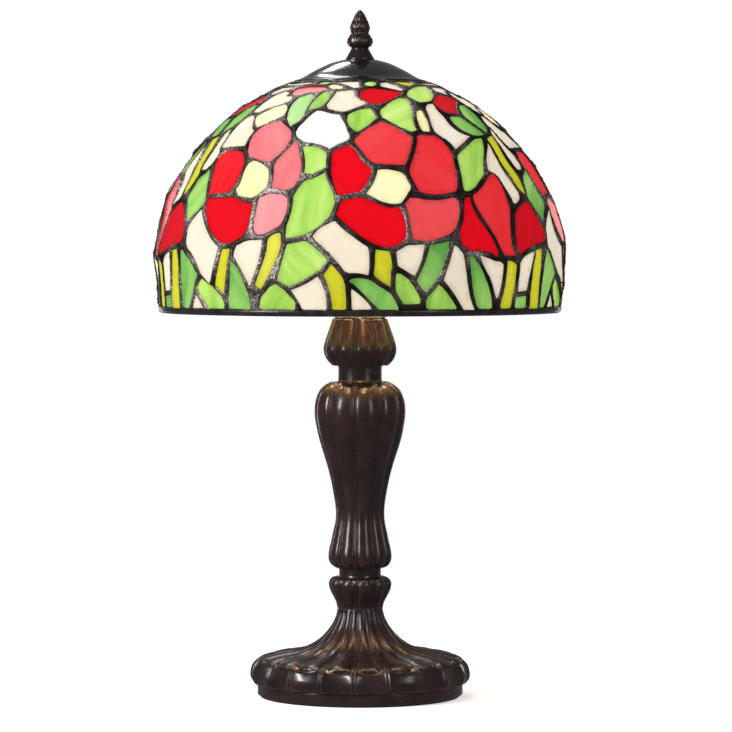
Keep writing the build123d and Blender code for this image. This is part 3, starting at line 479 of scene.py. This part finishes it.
lobed_casting("baluster_casting", "baluster", [
    (BALUSTER_BASE, 18.1, 0.2), (97.5, 20.9, 0.75), (100.5, 22.5, 1.0), (104, 22.9, 1.0), (109, 22.4, 0.95),
    (115, 21, 0.85), (122, 19.6, 0.75), (128.5, 18.2, 0.65), (135, 17.7, 0.6), (142, 18.1, 0.6),
    (150, 19.3, 0.7), (162, 21.6, 0.8), (175, 25.1, 0.9), (188, 29.1, 1.1), (199, 31.7, 1.2),
    (210, 33.1, 1.25), (219.4, 32.2, 1.25), (226, 29.5, 1.1), (230.4, 25.2, 0.7), (BALUSTER_TOP, 21.8, 0.2),
], [
    (16.8, BALUSTER_TOP), (BORE, BALUSTER_TOP), (BORE, 225), (21, 225), (26.4, 213), (25.6, 200), (20, 179),
    (15.6, 162), (12.4, 142), (12.6, 128), (15, 112), (16, 103), (BORE, 103), (BORE, BALUSTER_BASE),
    (15, BALUSTER_BASE),
], [(BALUSTER_BASE, 7, 3.0), (BALUSTER_TOP, 6, 1.6)])

lobed_casting("cup_casting", "top_cup", [
    (CUP_BASE, 20.8, 0.1), (248.2, 23.5, 0.65), (252.6, 25.8, 1.0), (257, 26.5, 1.1), (261.4, 25.8, 1.1),
    (266, 24.4, 1.0), (270.3, 22.9, 0.9), (274.7, 21.4, 0.8), (CUP_TOP, 19.9, 0.6),
], [
    (16.8, CUP_TOP), (18.4, 273), (21.2, 264), (22.4, 257), (19.5, 250.5), (BORE, 250.5), (BORE, CUP_BASE),
    (16, CUP_BASE),
], [(CUP_BASE, 9, 4.2)])


def foot_piece():
    """Trumpet foot: hollow flutes that end in scalloped lips, then a row of cushions round the edge."""
    sections = [
        (16.7, COLLAR_BASE), (17.7, 60), (19.6, 55.4), (22.2, 51), (25.6, 46.5), (29.9, 42.1), (35.8, 37.7),
        (46.2, 33.2), (57, 31), (67.4, 29), (73.6, 27), (77.4, 24.2), (79.5, 20), (80, 14.9),
        (78.9, FOOT_BASE),
    ]
    rows = curve_through(sections, 0.6)
    steps = np.hypot(*(rows[1:] - rows[:-1]).T)
    along = np.concatenate([[0], np.cumsum(steps)])
    lip = along[np.argmin(np.abs(rows[:, 0] - LIP_RADIUS))]
    under = [
        (72.5, FOOT_BASE), (72.5, 12.5), (75.6, 14.5), (75.6, 19.5), (72.6, 23), (63.5, 25.4), (51, 27.6),
        (41, 31), (33, 36), (28, 39), (20, 39), (20, 24), (BORE, 24), (BORE, COLLAR_BASE),
    ]
    line = np.concatenate([rows, np.array(under, float)])
    outer = len(rows)

    def push(index, azimuths):
        if index >= outer:
            return np.zeros(len(azimuths))
        radius, height = rows[index]
        away, half = separator(azimuths, radius, FOOT_LOBES, FOOT_PHASE)
        share = away / half
        scallop = lip - 6.5 * (1 - share) ** 3
        past = np.clip((along[index] - scallop) / 1.5, 0, 1)
        past = past * past * (3 - 2 * past)
        rib_half = 0.28 + 0.022 * radius
        scoop = np.clip((away - rib_half) / max(half - rib_half, 0.1), 0, 1)
        depth = 0.5 + 1.5 * min(1.0, max(0.0, (radius - 17) / 45))
        flute = 0.35 - depth * (1 - (1 - scoop) ** 2.2)
        flute = flute - 0.26 * np.exp(-((away / (0.2 + 0.006 * radius)) ** 2))
        ease = min(1.0, max(0.0, (height - FOOT_BASE) / 3.2))
        cushion = lobe_push(away, half, 0.25 + 1.0 * ease, 1.35 + 2.2 * (1 - ease) ** 2, 0.55 * ease)
        top = min(1.0, along[index] / 3.0)
        return (flute * (1 - past) * top + cushion * past) * 0.98 + wobble(azimuths, height, 0.05, 0.4)

    mesh = lathe_mesh("foot_piece", line, ribbed_turn(FOOT_LOBES, FOOT_PHASE, 40), push)
    add_piece("foot_piece", mesh, BRONZE, "base", "foot_casting")


foot_piece()

turned("plinth_ring", "plinth_band", "base", BRONZE,
       [(69, 3), (74.1, 3), (74.1, 1.5), (75.4, 1.5), (76, 2.1), (76, 9.5), (75.2, FOOT_BASE),
        (69, FOOT_BASE)], 0.5, 240, lambda index, azimuths: wobble(azimuths, index, 0.04, 0.9))
turned("lower_neck_ring", "lower_neck", "base", BRONZE,
       [(BORE, COLLAR_TOP), (15.9, COLLAR_TOP), (15.4, 89.8), (15.4, 94.1), (15.9, BALUSTER_BASE),
        (BORE, BALUSTER_BASE)])
turned("upper_neck_ring", "upper_neck", "base", BRONZE,
       [(BORE, BALUSTER_TOP), (16.9, BALUSTER_TOP), (16.7, 233.4), (16.2, 234.2), (16.2, 243.4),
        (16.8, CUP_BASE), (BORE, CUP_BASE)])
turned("cup_cover", "cup_lid", "base", BRONZE,
       [(BORE, CUP_TOP), (18.4, CUP_TOP), (18.8, 279.8), (18.4, LID_TOP), (BORE, LID_TOP)], 0.3)

# ---------------------------------------------------------------- shade

# The outer face is a straight skirt from the rim up to a knee, and a sphere above it.
DOME_RADIUS = 154.0
DOME_CENTRE = 308.0
RIM_RADIUS = 147.5
RIM_HEIGHT = 284.0
KNEE_RISE = 22
KNEE = math.asin(KNEE_RISE / DOME_RADIUS)
KNEE_RADIUS = DOME_RADIUS * math.cos(KNEE)
KNEE_HEIGHT = DOME_CENTRE + DOME_RADIUS * math.sin(KNEE)
SKIRT = math.hypot(KNEE_RADIUS - RIM_RADIUS, KNEE_HEIGHT - RIM_HEIGHT)
SKIRT_LEAN = math.atan2(KNEE_RADIUS - RIM_RADIUS, KNEE_HEIGHT - RIM_HEIGHT)
TOP_EDGE = 449.5  # height where the seams end at the crown ring
NET_MIDDLE = -2  # height over the dome's outer face that parts the net's outer side from its inner side


def shade_line(up, depth):
    """Radius and height in mm of a point, up the shade from the rim and below its outer face."""
    if up <= SKIRT:
        return (RIM_RADIUS + up * math.sin(SKIRT_LEAN) - depth * math.cos(SKIRT_LEAN),
                RIM_HEIGHT + up * math.cos(SKIRT_LEAN) + depth * math.sin(SKIRT_LEAN))
    angle = KNEE + (up - SKIRT) / DOME_RADIUS
    return (DOME_RADIUS - depth) * math.cos(angle), DOME_CENTRE + (DOME_RADIUS - depth) * math.sin(angle)


def shade_place(point):
    """Azimuth in degrees and distance up the shade in mm of a point in metres."""
    azimuth = math.degrees(math.atan2(point.x, -point.y))
    radius = math.hypot(point.x, point.y) / MM
    height = point.z / MM
    angle = math.atan2(height - DOME_CENTRE, radius)
    if angle <= KNEE:
        return azimuth, height - RIM_HEIGHT
    return azimuth, SKIRT + (angle - KNEE) * DOME_RADIUS


# Panes that stand out from their sheet's middle tone, by place: azimuth, distance up the shade, and tone,
# which is 0 for the deepest glass and 1 for the palest.
TONES = {
    "red_petal_glass": [(-45, 106, 0.62), (-40, 70, 0.45), (-3, 107, 0.5), (4, 67, 0.42), (8, 131, 0.95),
                        (25, 114, 0.72), (21, 68, 0.95), (34, 66, 0.35), (41, 74, 0.75), (55, 62, 0.25),
                        (48, 177, 0.15), (11, 187, 0.2), (-32, 196, 0.75)],
    "cream_ground_glass": [(-14, 145, 1.25), (-12, 60, 0.85)],
}
SECTOR = 120  # the pattern repeats three times round
TONE_REACH = 16.0  # how far in mm a pane's middle may lie from a listed spot
MEAN_RADIUS = 130  # of the shade, to turn azimuth into distance


def pane_tone(node, azimuth, up, jitter):
    """A pane's place between deep (0) and pale (1) glass: that of the nearest listed spot, or 0.5."""
    best = 0.5
    reach = TONE_REACH
    for spot, height, tone in TONES.get(node, []):
        turn = (azimuth - spot + SECTOR / 2) % SECTOR - SECTOR / 2
        apart = math.hypot(math.radians(turn) * MEAN_RADIUS, up - height)
        if apart < reach:
            reach = apart
            best = tone
    return best + jitter


def outer_loop(island, middle):
    """The outline of a pane's outer face, in order, and that face's normal."""
    outward = middle - Vector((0, 0, DOME_CENTRE * MM))
    facing = max((face.normal for face in island), key=lambda normal: normal.dot(outward)).copy()
    outer = [face for face in island if face.normal.dot(facing) > 0.999]
    chosen = set(outer)
    edges = [edge for face in outer for edge in face.edges
             if len([other for other in edge.link_faces if other in chosen]) == 1]
    following = {}
    for edge in edges:
        for vert in edge.verts:
            following.setdefault(vert, []).append(edge)
    start = edges[0].verts[0]
    loop = [start]
    edge = edges[0]
    vert = edge.other_vert(start)
    while vert is not start:
        loop.append(vert)
        edge = [other for other in following[vert] if other is not edge][0]
        vert = edge.other_vert(vert)
    return [v.co.copy() for v in loop], facing


def islands_of(mesh):
    """Separate solids of a mesh, as lists of faces, in a welded bmesh."""
    loose = bmesh.new()
    loose.from_mesh(mesh)
    bmesh.ops.remove_doubles(loose, verts=loose.verts, dist=1e-6)
    loose.normal_update()
    seen = set()
    groups = []
    for face in loose.faces:
        if face in seen:
            continue
        group = []
        queue = [face]
        seen.add(face)
        while queue:
            here = queue.pop()
            group.append(here)
            for edge in here.edges:
                for other in edge.link_faces:
                    if other not in seen:
                        seen.add(other)
                        queue.append(other)
        groups.append(group)
    return loose, groups


def inside(point, outline):
    """True if a flat point lies inside a closed outline."""
    hit = False
    for index in range(len(outline)):
        ax, ay = outline[index - 1]
        bx, by = outline[index]
        if (ay > point[1]) != (by > point[1]) and point[0] < (bx - ax) * (point[1] - ay) / (by - ay) + ax:
            hit = not hit
    return hit


def distance_to_outline(point, outline):
    """Distance of a flat point from the nearest side of a closed outline."""
    shape = np.array(outline)
    start = np.roll(shape, 1, 0)
    run = shape - start
    t = np.clip(((point - start) * run).sum(1) / np.maximum((run**2).sum(1), 1e-12), 0, 1)
    return np.hypot(*(start + run * t[:, None] - point).T).min()


PANE_THICK = 3.0 * MM
WAVE = 0.16 * MM
RIM_STEP = 1.1 * MM  # between points of a pane's outline
SEAM_WIDTH = 3.6 * MM  # between two panes' edges, once they are tucked under the solder
MOST_GROWTH = 1.7 * MM
GRID = 3.6 * MM  # between points inside a pane
ROW = 0.87  # a row's share of that, for nearly even triangles


def pane_patch(loop, facing, random):
    """Grid points and triangles that fill a pane's outline, in the pane's own plane."""
    origin = sum(loop, Vector()) / len(loop)
    across = facing.cross(Vector((0, 0, 1))).normalized()
    upward = facing.cross(across)
    flat = [((p - origin).dot(across), (p - origin).dot(upward)) for p in loop]
    low = np.min(flat, 0)
    high = np.max(flat, 0)
    points = [Vector(p) for p in flat]
    rows = int((high[1] - low[1]) / (GRID * ROW)) + 1
    columns = int((high[0] - low[0]) / GRID) + 1
    for row in range(rows + 1):
        for column in range(columns + 1):
            spot = (low[0] + (column + 0.5 * (row % 2)) * GRID + random.uniform(-0.1, 0.1) * GRID,
                    low[1] + row * GRID * ROW + random.uniform(-0.1, 0.1) * GRID)
            if inside(spot, flat) and distance_to_outline(np.array(spot), flat) > GRID * 0.45:
                points.append(Vector(spot))
    ring = list(range(len(flat)))
    edges = [(a, (a + 1) % len(flat)) for a in ring]
    made = geometry.delaunay_2d_cdt(points, edges, [ring], 1, 1e-7)
    return origin, across, upward, [Vector(p) for p in made[0]], made[2], len(flat)


def resampled(loop, step):
    """The same outline with points no more than a step apart."""
    points = []
    for here, there in zip(loop, loop[1:] + loop[:1]):
        parts = int((there - here).length / step) + 1
        points.extend(here.lerp(there, part / parts) for part in range(parts))
    return points


def outline_outward(loop, facing):
    """For each point of an outline, the direction in the pane's plane that leads away from it."""
    turns = sum((a.cross(b) for a, b in zip(loop, loop[1:] + loop[:1])), Vector())
    sign = 1 if turns.dot(facing) > 0 else -1
    away = []
    for index in range(len(loop)):
        run = loop[(index + 1) % len(loop)] - loop[index - 1]
        away.append(run.cross(facing).normalized() * sign)
    return away


class Pane:
    """One flat pane: its node, its outline on the outer face, and which way it faces."""

    def __init__(self, node, group):
        self.node = node
        self.middle = sum((f.calc_center_median() for f in group), Vector()) / len(group)
        outline, self.facing = outer_loop(group, self.middle)
        self.loop = resampled(outline, RIM_STEP)
        self.away = outline_outward(self.loop, self.facing)


def all_panes():
    """Every pane of the shade, read from the CAD glass nodes."""
    panes = []
    for node in GLASS:
        loose, groups = islands_of(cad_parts[node].data)
        panes.extend(Pane(node, group) for group in groups)
        loose.free()
    return panes


def rim_tree(panes):
    """A search tree over every pane's outline, with the pane and direction of each point."""
    spots = [spot for pane in panes for spot in pane.loop]
    owners = [index for index, pane in enumerate(panes) for _ in pane.loop]
    away = [out for pane in panes for out in pane.away]
    tree = kdtree.KDTree(len(spots))
    for index, spot in enumerate(spots):
        tree.insert(spot, index)
    tree.balance()
    return tree, spots, owners, away


def tucked_under_solder(panes):
    """Let each pane run on under a wide seam, so that every bead shows about the same width."""
    tree, _, owners, _ = rim_tree(panes)
    for number, pane in enumerate(panes):
        grow = []
        for spot in pane.loop:
            others = [found[2] for found in tree.find_n(spot, 36) if owners[found[1]] != number]
            gap = min(others, default=9 * MM)
            grow.append(min(max((gap - SEAM_WIDTH) / 2, 0), MOST_GROWTH))
        count = len(grow)
        eased = [sum(grow[(index + k) % count] for k in (-2, -1, 0, 1, 2)) / 5 for index in range(count)]
        pane.loop = [spot + out * min(a, b) for spot, out, a, b in zip(pane.loop, pane.away, eased, grow)]


panes = all_panes()
tucked_under_solder(panes)


def glass_piece(node, order):
    """Wavy flat panes for one CAD glass node, each with its own tone and streak direction."""
    verts, faces, tones, swirls, inward = [], [], [], [], []
    sharp = set()
    random = np.random.default_rng(40 + order)
    for pane in panes:
        if pane.node != node:
            continue
        facing = pane.facing
        origin, across, upward, points, triangles, rim = pane_patch(pane.loop, facing, random)
        azimuth, up = shade_place(pane.middle)
        tone = pane_tone(node, azimuth, up, random.uniform(-0.07, 0.07))
        lean = random.uniform(-0.9, 0.9)
        shift = Vector(random.uniform(0, 9, 3))
        turn = Matrix.Rotation(lean, 2)
        start = len(verts)
        count = len(points)
        for side in (0, 1):
            for p in points:
                spot = origin + across * p.x + upward * p.y
                wave = WAVE * (noise.noise(spot * 55) + 0.5 * noise.noise(spot * 130))
                verts.append(spot + facing * (wave - side * PANE_THICK))
                tones.append(tone)
                turned_spot = turn @ Vector((p.x, p.y))
                swirls.append(shift + Vector((turned_spot.x, turned_spot.y, 0)))
            # inward is 0 on a pane's outline and 1 inside it; the glass material dims its painted glow
            # towards the outline as painted shade.
            inward += [0.0] * rim + [1.0] * (count - rim)
        for triangle in triangles:
            faces.append([start + v for v in triangle])
            faces.append([start + count + v for v in reversed(triangle)])
        sides = {(triangle[index - 1], triangle[index]) for triangle in triangles for index in range(3)}
        for a, b in sorted(sides):
            if (b, a) not in sides:
                faces.append([start + b, start + a, start + count + a, start + count + b])
                sharp.add(frozenset((start + a, start + b)))
                sharp.add(frozenset((start + count + a, start + count + b)))
    mesh = bpy.data.meshes.new(node.replace("_glass", "_panes"))
    mesh.from_pydata([tuple(v) for v in verts], [], faces)
    face_outward(mesh)
    mesh.attributes.new("tone", "FLOAT", "POINT").data.foreach_set("value", tones)
    mesh.attributes.new("inward", "FLOAT", "POINT").data.foreach_set("value", inward)
    mesh.attributes.new("swirl", "FLOAT_VECTOR", "POINT").data.foreach_set("vector", np.ravel(swirls))
    mesh.edges.foreach_set("use_edge_sharp", [frozenset(edge.vertices) in sharp for edge in mesh.edges])
    material = glass_material(node.replace("_glass", "_sheet"), *GLASS[node])
    add_piece(mesh.name, mesh, material, "shade", node)


for order, node in enumerate(GLASS):
    glass_piece(node, order)


def modified(piece, kind, **settings):
    """Add a modifier with its settings."""
    made = piece.modifiers.new(kind.lower(), kind)
    for key, value in settings.items():
        setattr(made, key, value)


def applied_mesh(piece, name):
    """The piece's mesh with its modifiers applied, as a new mesh."""
    graph = bpy.context.evaluated_depsgraph_get()
    mesh = bpy.data.meshes.new_from_object(piece.evaluated_get(graph), depsgraph=graph)
    mesh.name = name
    return mesh


def shade_height(spots):
    """Each point's height in mm above the shade's outer face, and the way out from that face."""
    radius = np.hypot(spots[:, 0], spots[:, 1]) / MM
    height = spots[:, 2] / MM
    angle = np.arctan2(height - DOME_CENTRE, radius)
    domed = angle > KNEE
    above_dome = np.hypot(radius, height - DOME_CENTRE) - DOME_RADIUS
    above_skirt = (radius - RIM_RADIUS) * math.cos(SKIRT_LEAN) - (height - RIM_HEIGHT) * math.sin(SKIRT_LEAN)
    above = np.where(domed, above_dome, above_skirt)
    tilt = np.where(domed, angle, -SKIRT_LEAN)
    flat = np.maximum(radius * MM, 1e-9)
    out = np.stack([np.cos(tilt) * spots[:, 0] / flat, np.cos(tilt) * spots[:, 1] / flat, np.sin(tilt)], 1)
    return above, out


def bead_height(away, lumps):
    """Height of a bead over the glass, by distance from the pane's edge: rounded, then under the glass."""
    round_top = 0.95 * np.sqrt(np.clip((away + 0.1) / 1.3, 0, 1)) - 0.05
    under = -0.9 * np.clip((-0.1 - away) / 0.5, 0, 1)
    return np.where(away > -0.1, round_top + 0.35 * lumps, under)


NET_GROWTH = 0.35 * MM
NET_VOXEL = 0.66 * MM


def puffed_net(name):
    """The CAD net as one fine, evenly meshed, slightly thickened skin."""
    rough = bpy.data.objects.new("net_copy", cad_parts["solder_net"].data.copy())
    bpy.context.scene.collection.objects.link(rough)
    weld = bmesh.new()
    weld.from_mesh(rough.data)
    bmesh.ops.remove_doubles(weld, verts=weld.verts, dist=1e-6)
    weld.to_mesh(rough.data)
    weld.free()
    modified(rough, "DISPLACE", strength=NET_GROWTH, mid_level=0.0)
    modified(rough, "REMESH", mode="VOXEL", voxel_size=NET_VOXEL, adaptivity=0.0)
    modified(rough, "SMOOTH", factor=0.5, iterations=4)
    mesh = applied_mesh(rough, name)
    bpy.data.objects.remove(rough)
    return mesh


def beside_panes(spots):
    """For each point in metres: the height of the glass next to it, and how far it is outside the nearest
    pane, both in mm."""
    tree, rims, _, away = rim_tree(panes)
    rises = shade_height(np.array(rims))[0]
    nearest = np.empty(len(spots), int)
    glass = np.empty(len(spots))
    for index, spot in enumerate(spots):
        near = tree.find_n(spot, 6)
        weights = [1 / (found[2] + 0.4 * MM) ** 2 for found in near]
        glass[index] = sum(w * rises[found[1]] for w, found in zip(weights, near)) / sum(weights)
        nearest[index] = near[0][1]
    return glass, ((spots - np.array(rims)[nearest]) * np.array(away)[nearest]).sum(1) / MM


def solder_piece():
    """Rounded lumpy solder seams, grown from the CAD net and laid over the edges of the flat panes."""
    mesh = puffed_net("solder_seams")
    spots = np.empty(len(mesh.vertices) * 3)
    normals = np.empty(len(mesh.vertices) * 3)
    mesh.vertices.foreach_get("co", spots)
    mesh.vertex_normals.foreach_get("vector", normals)
    spots = spots.reshape(-1, 3)
    normals = normals.reshape(-1, 3)
    glass, offset = beside_panes(spots)
    above, out = shade_height(spots)
    lumps = np.array([noise.noise(Vector(p) * 260) + 0.7 * noise.noise(Vector(p) * 650) for p in spots])
    bead = bead_height(offset, lumps)
    facing = (normals * out).sum(1)
    covered = offset < 0
    outer = np.where(covered, 1, np.clip((facing - 0.1) / 0.4, 0, 1)) * (above > NET_MIDDLE)
    inner = np.where(covered, 1, np.clip((-facing - 0.1) / 0.4, 0, 1)) * (above <= NET_MIDDLE)
    move = outer * (glass + bead - above) + inner * (glass - PANE_THICK / MM - bead - above)
    height = spots[:, 2] / MM
    move *= np.clip((height - RIM_HEIGHT - 4) / 3, 0, 1) * np.clip((TOP_EDGE - height) / 4, 0, 1)
    mesh.vertices.foreach_set("co", (spots + out * move[:, None] * MM).ravel())
    mesh.update()
    add_piece("solder_seams", mesh, SOLDER, "shade", "solder_net")


solder_piece()

# The channel's section, as distances up the shade and below its outer face.
RIM_SECTION = [
    (4.8, -0.5), (4.2, -0.95), (3.2, -1.05), (2.2, -1.0), (1.2, -0.6), (0.5, 0.1), (0.1, 1.0), (0, 2.4),
    (0.2, 4.0), (0.9, 4.8), (3.8, 4.8), (4.8, 4.2),
]
turned("rim_channel", "rim_band", "shade", LEAD,
       [shade_line(*place) for place in RIM_SECTION], 0.4, 360,
       lambda index, azimuths: wobble(azimuths, index * 3, 0.05, 2.2))

# ---------------------------------------------------------------- cap and finial


def vent_cap_piece():
    """Thin pressed cap: a low cone that curls out to a rolled edge."""
    top = [(16, 469.2), (20.7, 467.9), (27.7, 464.9), (35.5, 460.9), (41, 457.6), (45, 455.8), (48.2, 455.0)]
    under = [(48.2, 453.55), (44.6, 454.3), (40.4, 456.1), (34.9, 459.4), (27.2, 463.4), (16, 467.8)]
    line = [(3.25, CAP_TOP), (11, CAP_TOP), (13.2, 469.9)]
    line += [tuple(place) for place in curve_through(top, 1.2)]
    line += [(48.9, 454.7), (49.2, 454.2), (48.9, 453.7)]
    line += [tuple(place) for place in curve_through(under, 1.2)]
    line += [(3.25, 468.7)]
    mesh = lathe_mesh("vent_cap", line, even_turn(200),
                      lambda index, azimuths: wobble(azimuths, index, 0.03, 1.1))
    add_piece("vent_cap", mesh, BLACK_GLOSS, "cap", "heat_cap")


vent_cap_piece()


def finial_piece():
    """Cone skirt under a two-tier pine cone covered with pointed scales."""
    outline = [
        (10.4, CAP_TOP), (10.6, 470.9), (9.9, 472.0), (8.2, 475), (6.6, 477.9), (6.3, 478.6), (7.0, 479.5),
        (8.6, 480.7), (9.4, 482.6), (9.1, 485.0), (7.6, 487.8), (6.2, 489.9), (6.8, 491.6), (7.3, 493.4),
        (6.7, 496), (5.4, 499), (3.9, 502.2), (2.2, 505.1), (1.0, 506.5), (0, 507),
    ]
    rows = curve_through(outline, 0.22)
    bore = [(0, 484.8), (3.4, 483.4), (3.5, 481.2), (4.62, 481.2), (4.62, CAP_TOP)]
    line = np.concatenate([np.array(bore, float), rows])
    first = len(bore)
    scales_from = 479.2
    bare_tip = 1.2
    waist = 489
    pitch = 3.1

    def push(index, azimuths):
        if index < first:
            return np.zeros(len(azimuths))
        radius, height = rows[index - first]
        if height < scales_from or radius < bare_tip:
            return np.zeros(len(azimuths))
        total = np.zeros(len(azimuths))
        fade = min(1.0, (height - scales_from) / 1.5) * min(1.0, (radius - bare_tip) / 1.5)
        for row in range(11):
            base = 478.4 + row * pitch * 0.82
            t = (height - base) / (pitch * 1.75)
            if not 0 <= t < 1:
                continue
            count = 9 if base < waist else 7
            place = ((azimuths / 360 * count) + 0.5 * (row % 2)) % 1 - 0.5
            width = 0.52 * math.sqrt(max(0.0, 1 - t**2.4))
            body = np.clip(1 - (np.abs(place) / max(width, 0.03)) ** 3, 0, 1)
            keel = 0.25 * np.exp(-((place / 0.07) ** 2))
            rise = (0.25 + 0.75 * t) * (body + keel * body)
            total = np.maximum(total, rise * (1 - 0.15 * t))
        return (total * 0.85 - 0.45) * fade

    mesh = lathe_mesh("pine_finial", line, even_turn(216), push)
    add_piece("pine_finial", mesh, BRONZE, "finial", "finial")


finial_piece()

# ---------------------------------------------------------------- lamp holder and bulb

turned("holder_cap", "socket_cap", "base", BRASS,
       [(5.2, HOLDER_BASE), (8.2, HOLDER_BASE), (8.6, 294), (13, 297), (17.6, 302), (19, 307),
        (19, SHELL_BASE), (18, SHELL_BASE), (18, 307.4), (16.8, 302.8), (12.4, 298.2), (7.4, 295.4),
        (5.2, 295)], 1.0, 120)
turned("holder_shell", "socket_shell", "base", BRASS,
       [(17.9, SHELL_BASE), (18.7, SHELL_BASE), (18.9, 312.4), (18.4, 314), (18.4, 330), (18.6, 331),
        (18.4, 332), (18.4, 344), (18.8, 347), (19.3, 350), (18.5, 350), (18, 347), (17.6, 344),
        (17.6, 314)], 0.4, 120)


def bulb_piece():
    """Thin glass envelope with an open neck."""
    outside = [(12.8, 351), (13.4, 356), (16.4, 363), (20.8, 372), (24.2, 382), (25, 392), (23, 402.5),
               (17.6, 410.5), (9, 415), (0, 416)]
    within = [(0, 415), (8.6, 414), (16.9, 409.7), (22.1, 402), (24, 392), (23.3, 382.4), (19.9, 372.4),
              (15.5, 363.4), (12.5, 356.2), (11.9, 351)]
    line = np.concatenate([curve_through(within, 1.4), curve_through(outside, 1.4)])
    mesh = lathe_mesh("bulb_envelope", line, even_turn(96))
    add_piece("bulb_envelope", mesh, BULB, "bulb", "bulb_glass")


bulb_piece()

# CAD nodes that keep their own mesh, by material
PLAIN = (
    (STEEL, ("base_plate", "plate_screws", "stem_tube", "foot_nut", "foot_washer", "bracket_nut",
             "shade_bracket", "top_stud", "stud_nut", "jam_nut", "seat_disc", "crown_ring")),
    (BRASS, ("finial_insert", "contact_spring", "screw_shell", "switch_shaft", "bulb_contact")),
    (PLASTIC, ("cord_bushing", "socket_interior", "switch_knob")),
    (IRON, ("ballast_weight",)),
    (FELT, ("felt_pad",)),
    (FIBRE, ("insulating_sleeve",)),
    (ALUMINIUM, ("bulb_base",)),
)
for material, nodes in PLAIN:
    for node in nodes:
        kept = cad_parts[node].data
        kept.materials.clear()
        kept.materials.append(material)

# ---------------------------------------------------------------- floor, light and camera

BACKDROP = 1.02  # strength of the plain white behind the lamp


def floor_material():
    """Pale floor that turns to plain white well away from the lamp."""
    material, tree, shader = new_material("pale_floor")
    place = make(tree, "ShaderNodeTexCoord").outputs["Object"]
    reach = make(tree, "ShaderNodeVectorMath", {0: place}, operation="LENGTH").outputs["Value"]
    far = ranged(tree, reach, (0.25, 1.1), (0, 1), interpolation_type="SMOOTHSTEP")
    finish_shader(tree, shader, {
        "Base Color": mixed(tree, grain(tree, 20, 2), (0.90, 0.90, 0.90), (0.93, 0.93, 0.93)),
        "Roughness": 0.9, "Specular IOR Level": 0.1, "Emission Color": (1, 1, 1), "Emission Strength": 0.55,
    })
    white = make(tree, "ShaderNodeEmission", {"Color": (1, 1, 1, 1), "Strength": BACKDROP})
    blend = make(tree, "ShaderNodeMixShader", {0: far, 1: shader.outputs["BSDF"],
                                               2: white.outputs["Emission"]})
    tree.links.new(blend.outputs["Shader"], tree.nodes["Material Output"].inputs["Surface"])
    return material


def floor():
    """Wide floor that doesn't show in the castings' reflections."""
    mesh = bpy.data.meshes.new("floor")
    half = 40
    corners = [(-half, -half, 0), (half, -half, 0), (half, half, 0), (-half, half, 0)]
    mesh.from_pydata(corners, [], [(0, 1, 2, 3)])
    mesh.materials.append(floor_material())
    plane = bpy.data.objects.new("floor", mesh)
    plane.visible_glossy = False
    bpy.context.scene.collection.objects.link(plane)


def softbox(name, azimuth, height, distance, size, power):
    """A rectangular area light at an azimuth in degrees (0 is the front), aimed at the middle of the lamp.
    height, distance and size are in metres."""
    light = bpy.data.lights.new(name, "AREA")
    light.shape = "RECTANGLE"
    light.size, light.size_y = size
    light.energy = power
    lamp = bpy.data.objects.new(name, light)
    turn = math.radians(azimuth)
    lamp.location = (distance * math.sin(turn), -distance * math.cos(turn), height)
    aim = Vector((0, 0, 0.25)) - lamp.location
    lamp.rotation_euler = aim.to_track_quat("-Z", "Y").to_euler()
    bpy.context.scene.collection.objects.link(lamp)


def studio():
    """White backdrop, soft boxes round the lamp and the bulb's own warm light."""
    world = bpy.data.worlds.new("studio")
    bpy.context.scene.world = world
    world.use_nodes = True
    tree = world.node_tree
    fill = tree.nodes["Background"]
    fill.inputs["Color"].default_value = (1, 1, 1, 1)
    fill.inputs["Strength"].default_value = 0.16
    seen = make(tree, "ShaderNodeBackground", {"Color": (1, 1, 1, 1), "Strength": BACKDROP})
    ray = make(tree, "ShaderNodeLightPath").outputs["Is Camera Ray"]
    blend = make(tree, "ShaderNodeMixShader", {0: ray, 1: fill.outputs["Background"],
                                               2: seen.outputs["Background"]})
    tree.links.new(blend.outputs["Shader"], tree.nodes["World Output"].inputs["Surface"])
    softbox("key_light", -54, 0.88, 1.3, (0.2, 1.2), 24)
    softbox("fill_light", 40, 0.8, 1.6, (0.3, 1.2), 6)
    softbox("back_left", -157, 0.25, 1.4, (0.12, 0.5), 0.8)
    softbox("back_right", 157, 0.25, 1.4, (0.12, 0.5), 0.5)
    softbox("top_light", -135, 1.6, 0.75, (0.4, 0.4), 5)
    softbox("cap_light", -168, 1.4, 1.2, (0.3, 0.3), 1.8)
    for azimuth in (0, 120, 240):
        bulb_glow(azimuth)


def bulb_glow(azimuth):
    """Warm light that leaves the shade downwards and gilds the upward faces of the base."""
    light = bpy.data.lights.new(f"bulb_glow_{azimuth}", "POINT")
    light.energy = 0.22
    light.color = (1.0, 0.66, 0.34)
    light.shadow_soft_size = 0.012
    lamp = bpy.data.objects.new(light.name, light)
    turn = math.radians(azimuth)
    lamp.location = (0.075 * math.sin(turn), -0.075 * math.cos(turn), 0.335)
    bpy.context.scene.collection.objects.link(lamp)


def camera():
    """Long lens in front of the lamp, at the height of the shade's lower half, looking slightly down."""
    lens = bpy.data.cameras.new("camera")
    lens.lens = 188
    lens.sensor_width = 36
    lens.clip_end = 100
    eye = bpy.data.objects.new("camera", lens)
    eye.location = (0, -2.824, 0.347)
    eye.rotation_euler = (math.radians(90 - 2.08), 0, math.radians(-0.09))
    bpy.context.scene.collection.objects.link(eye)
    bpy.context.scene.camera = eye


floor()
studio()
camera()
bpy.context.scene.view_settings.view_transform = "Standard"
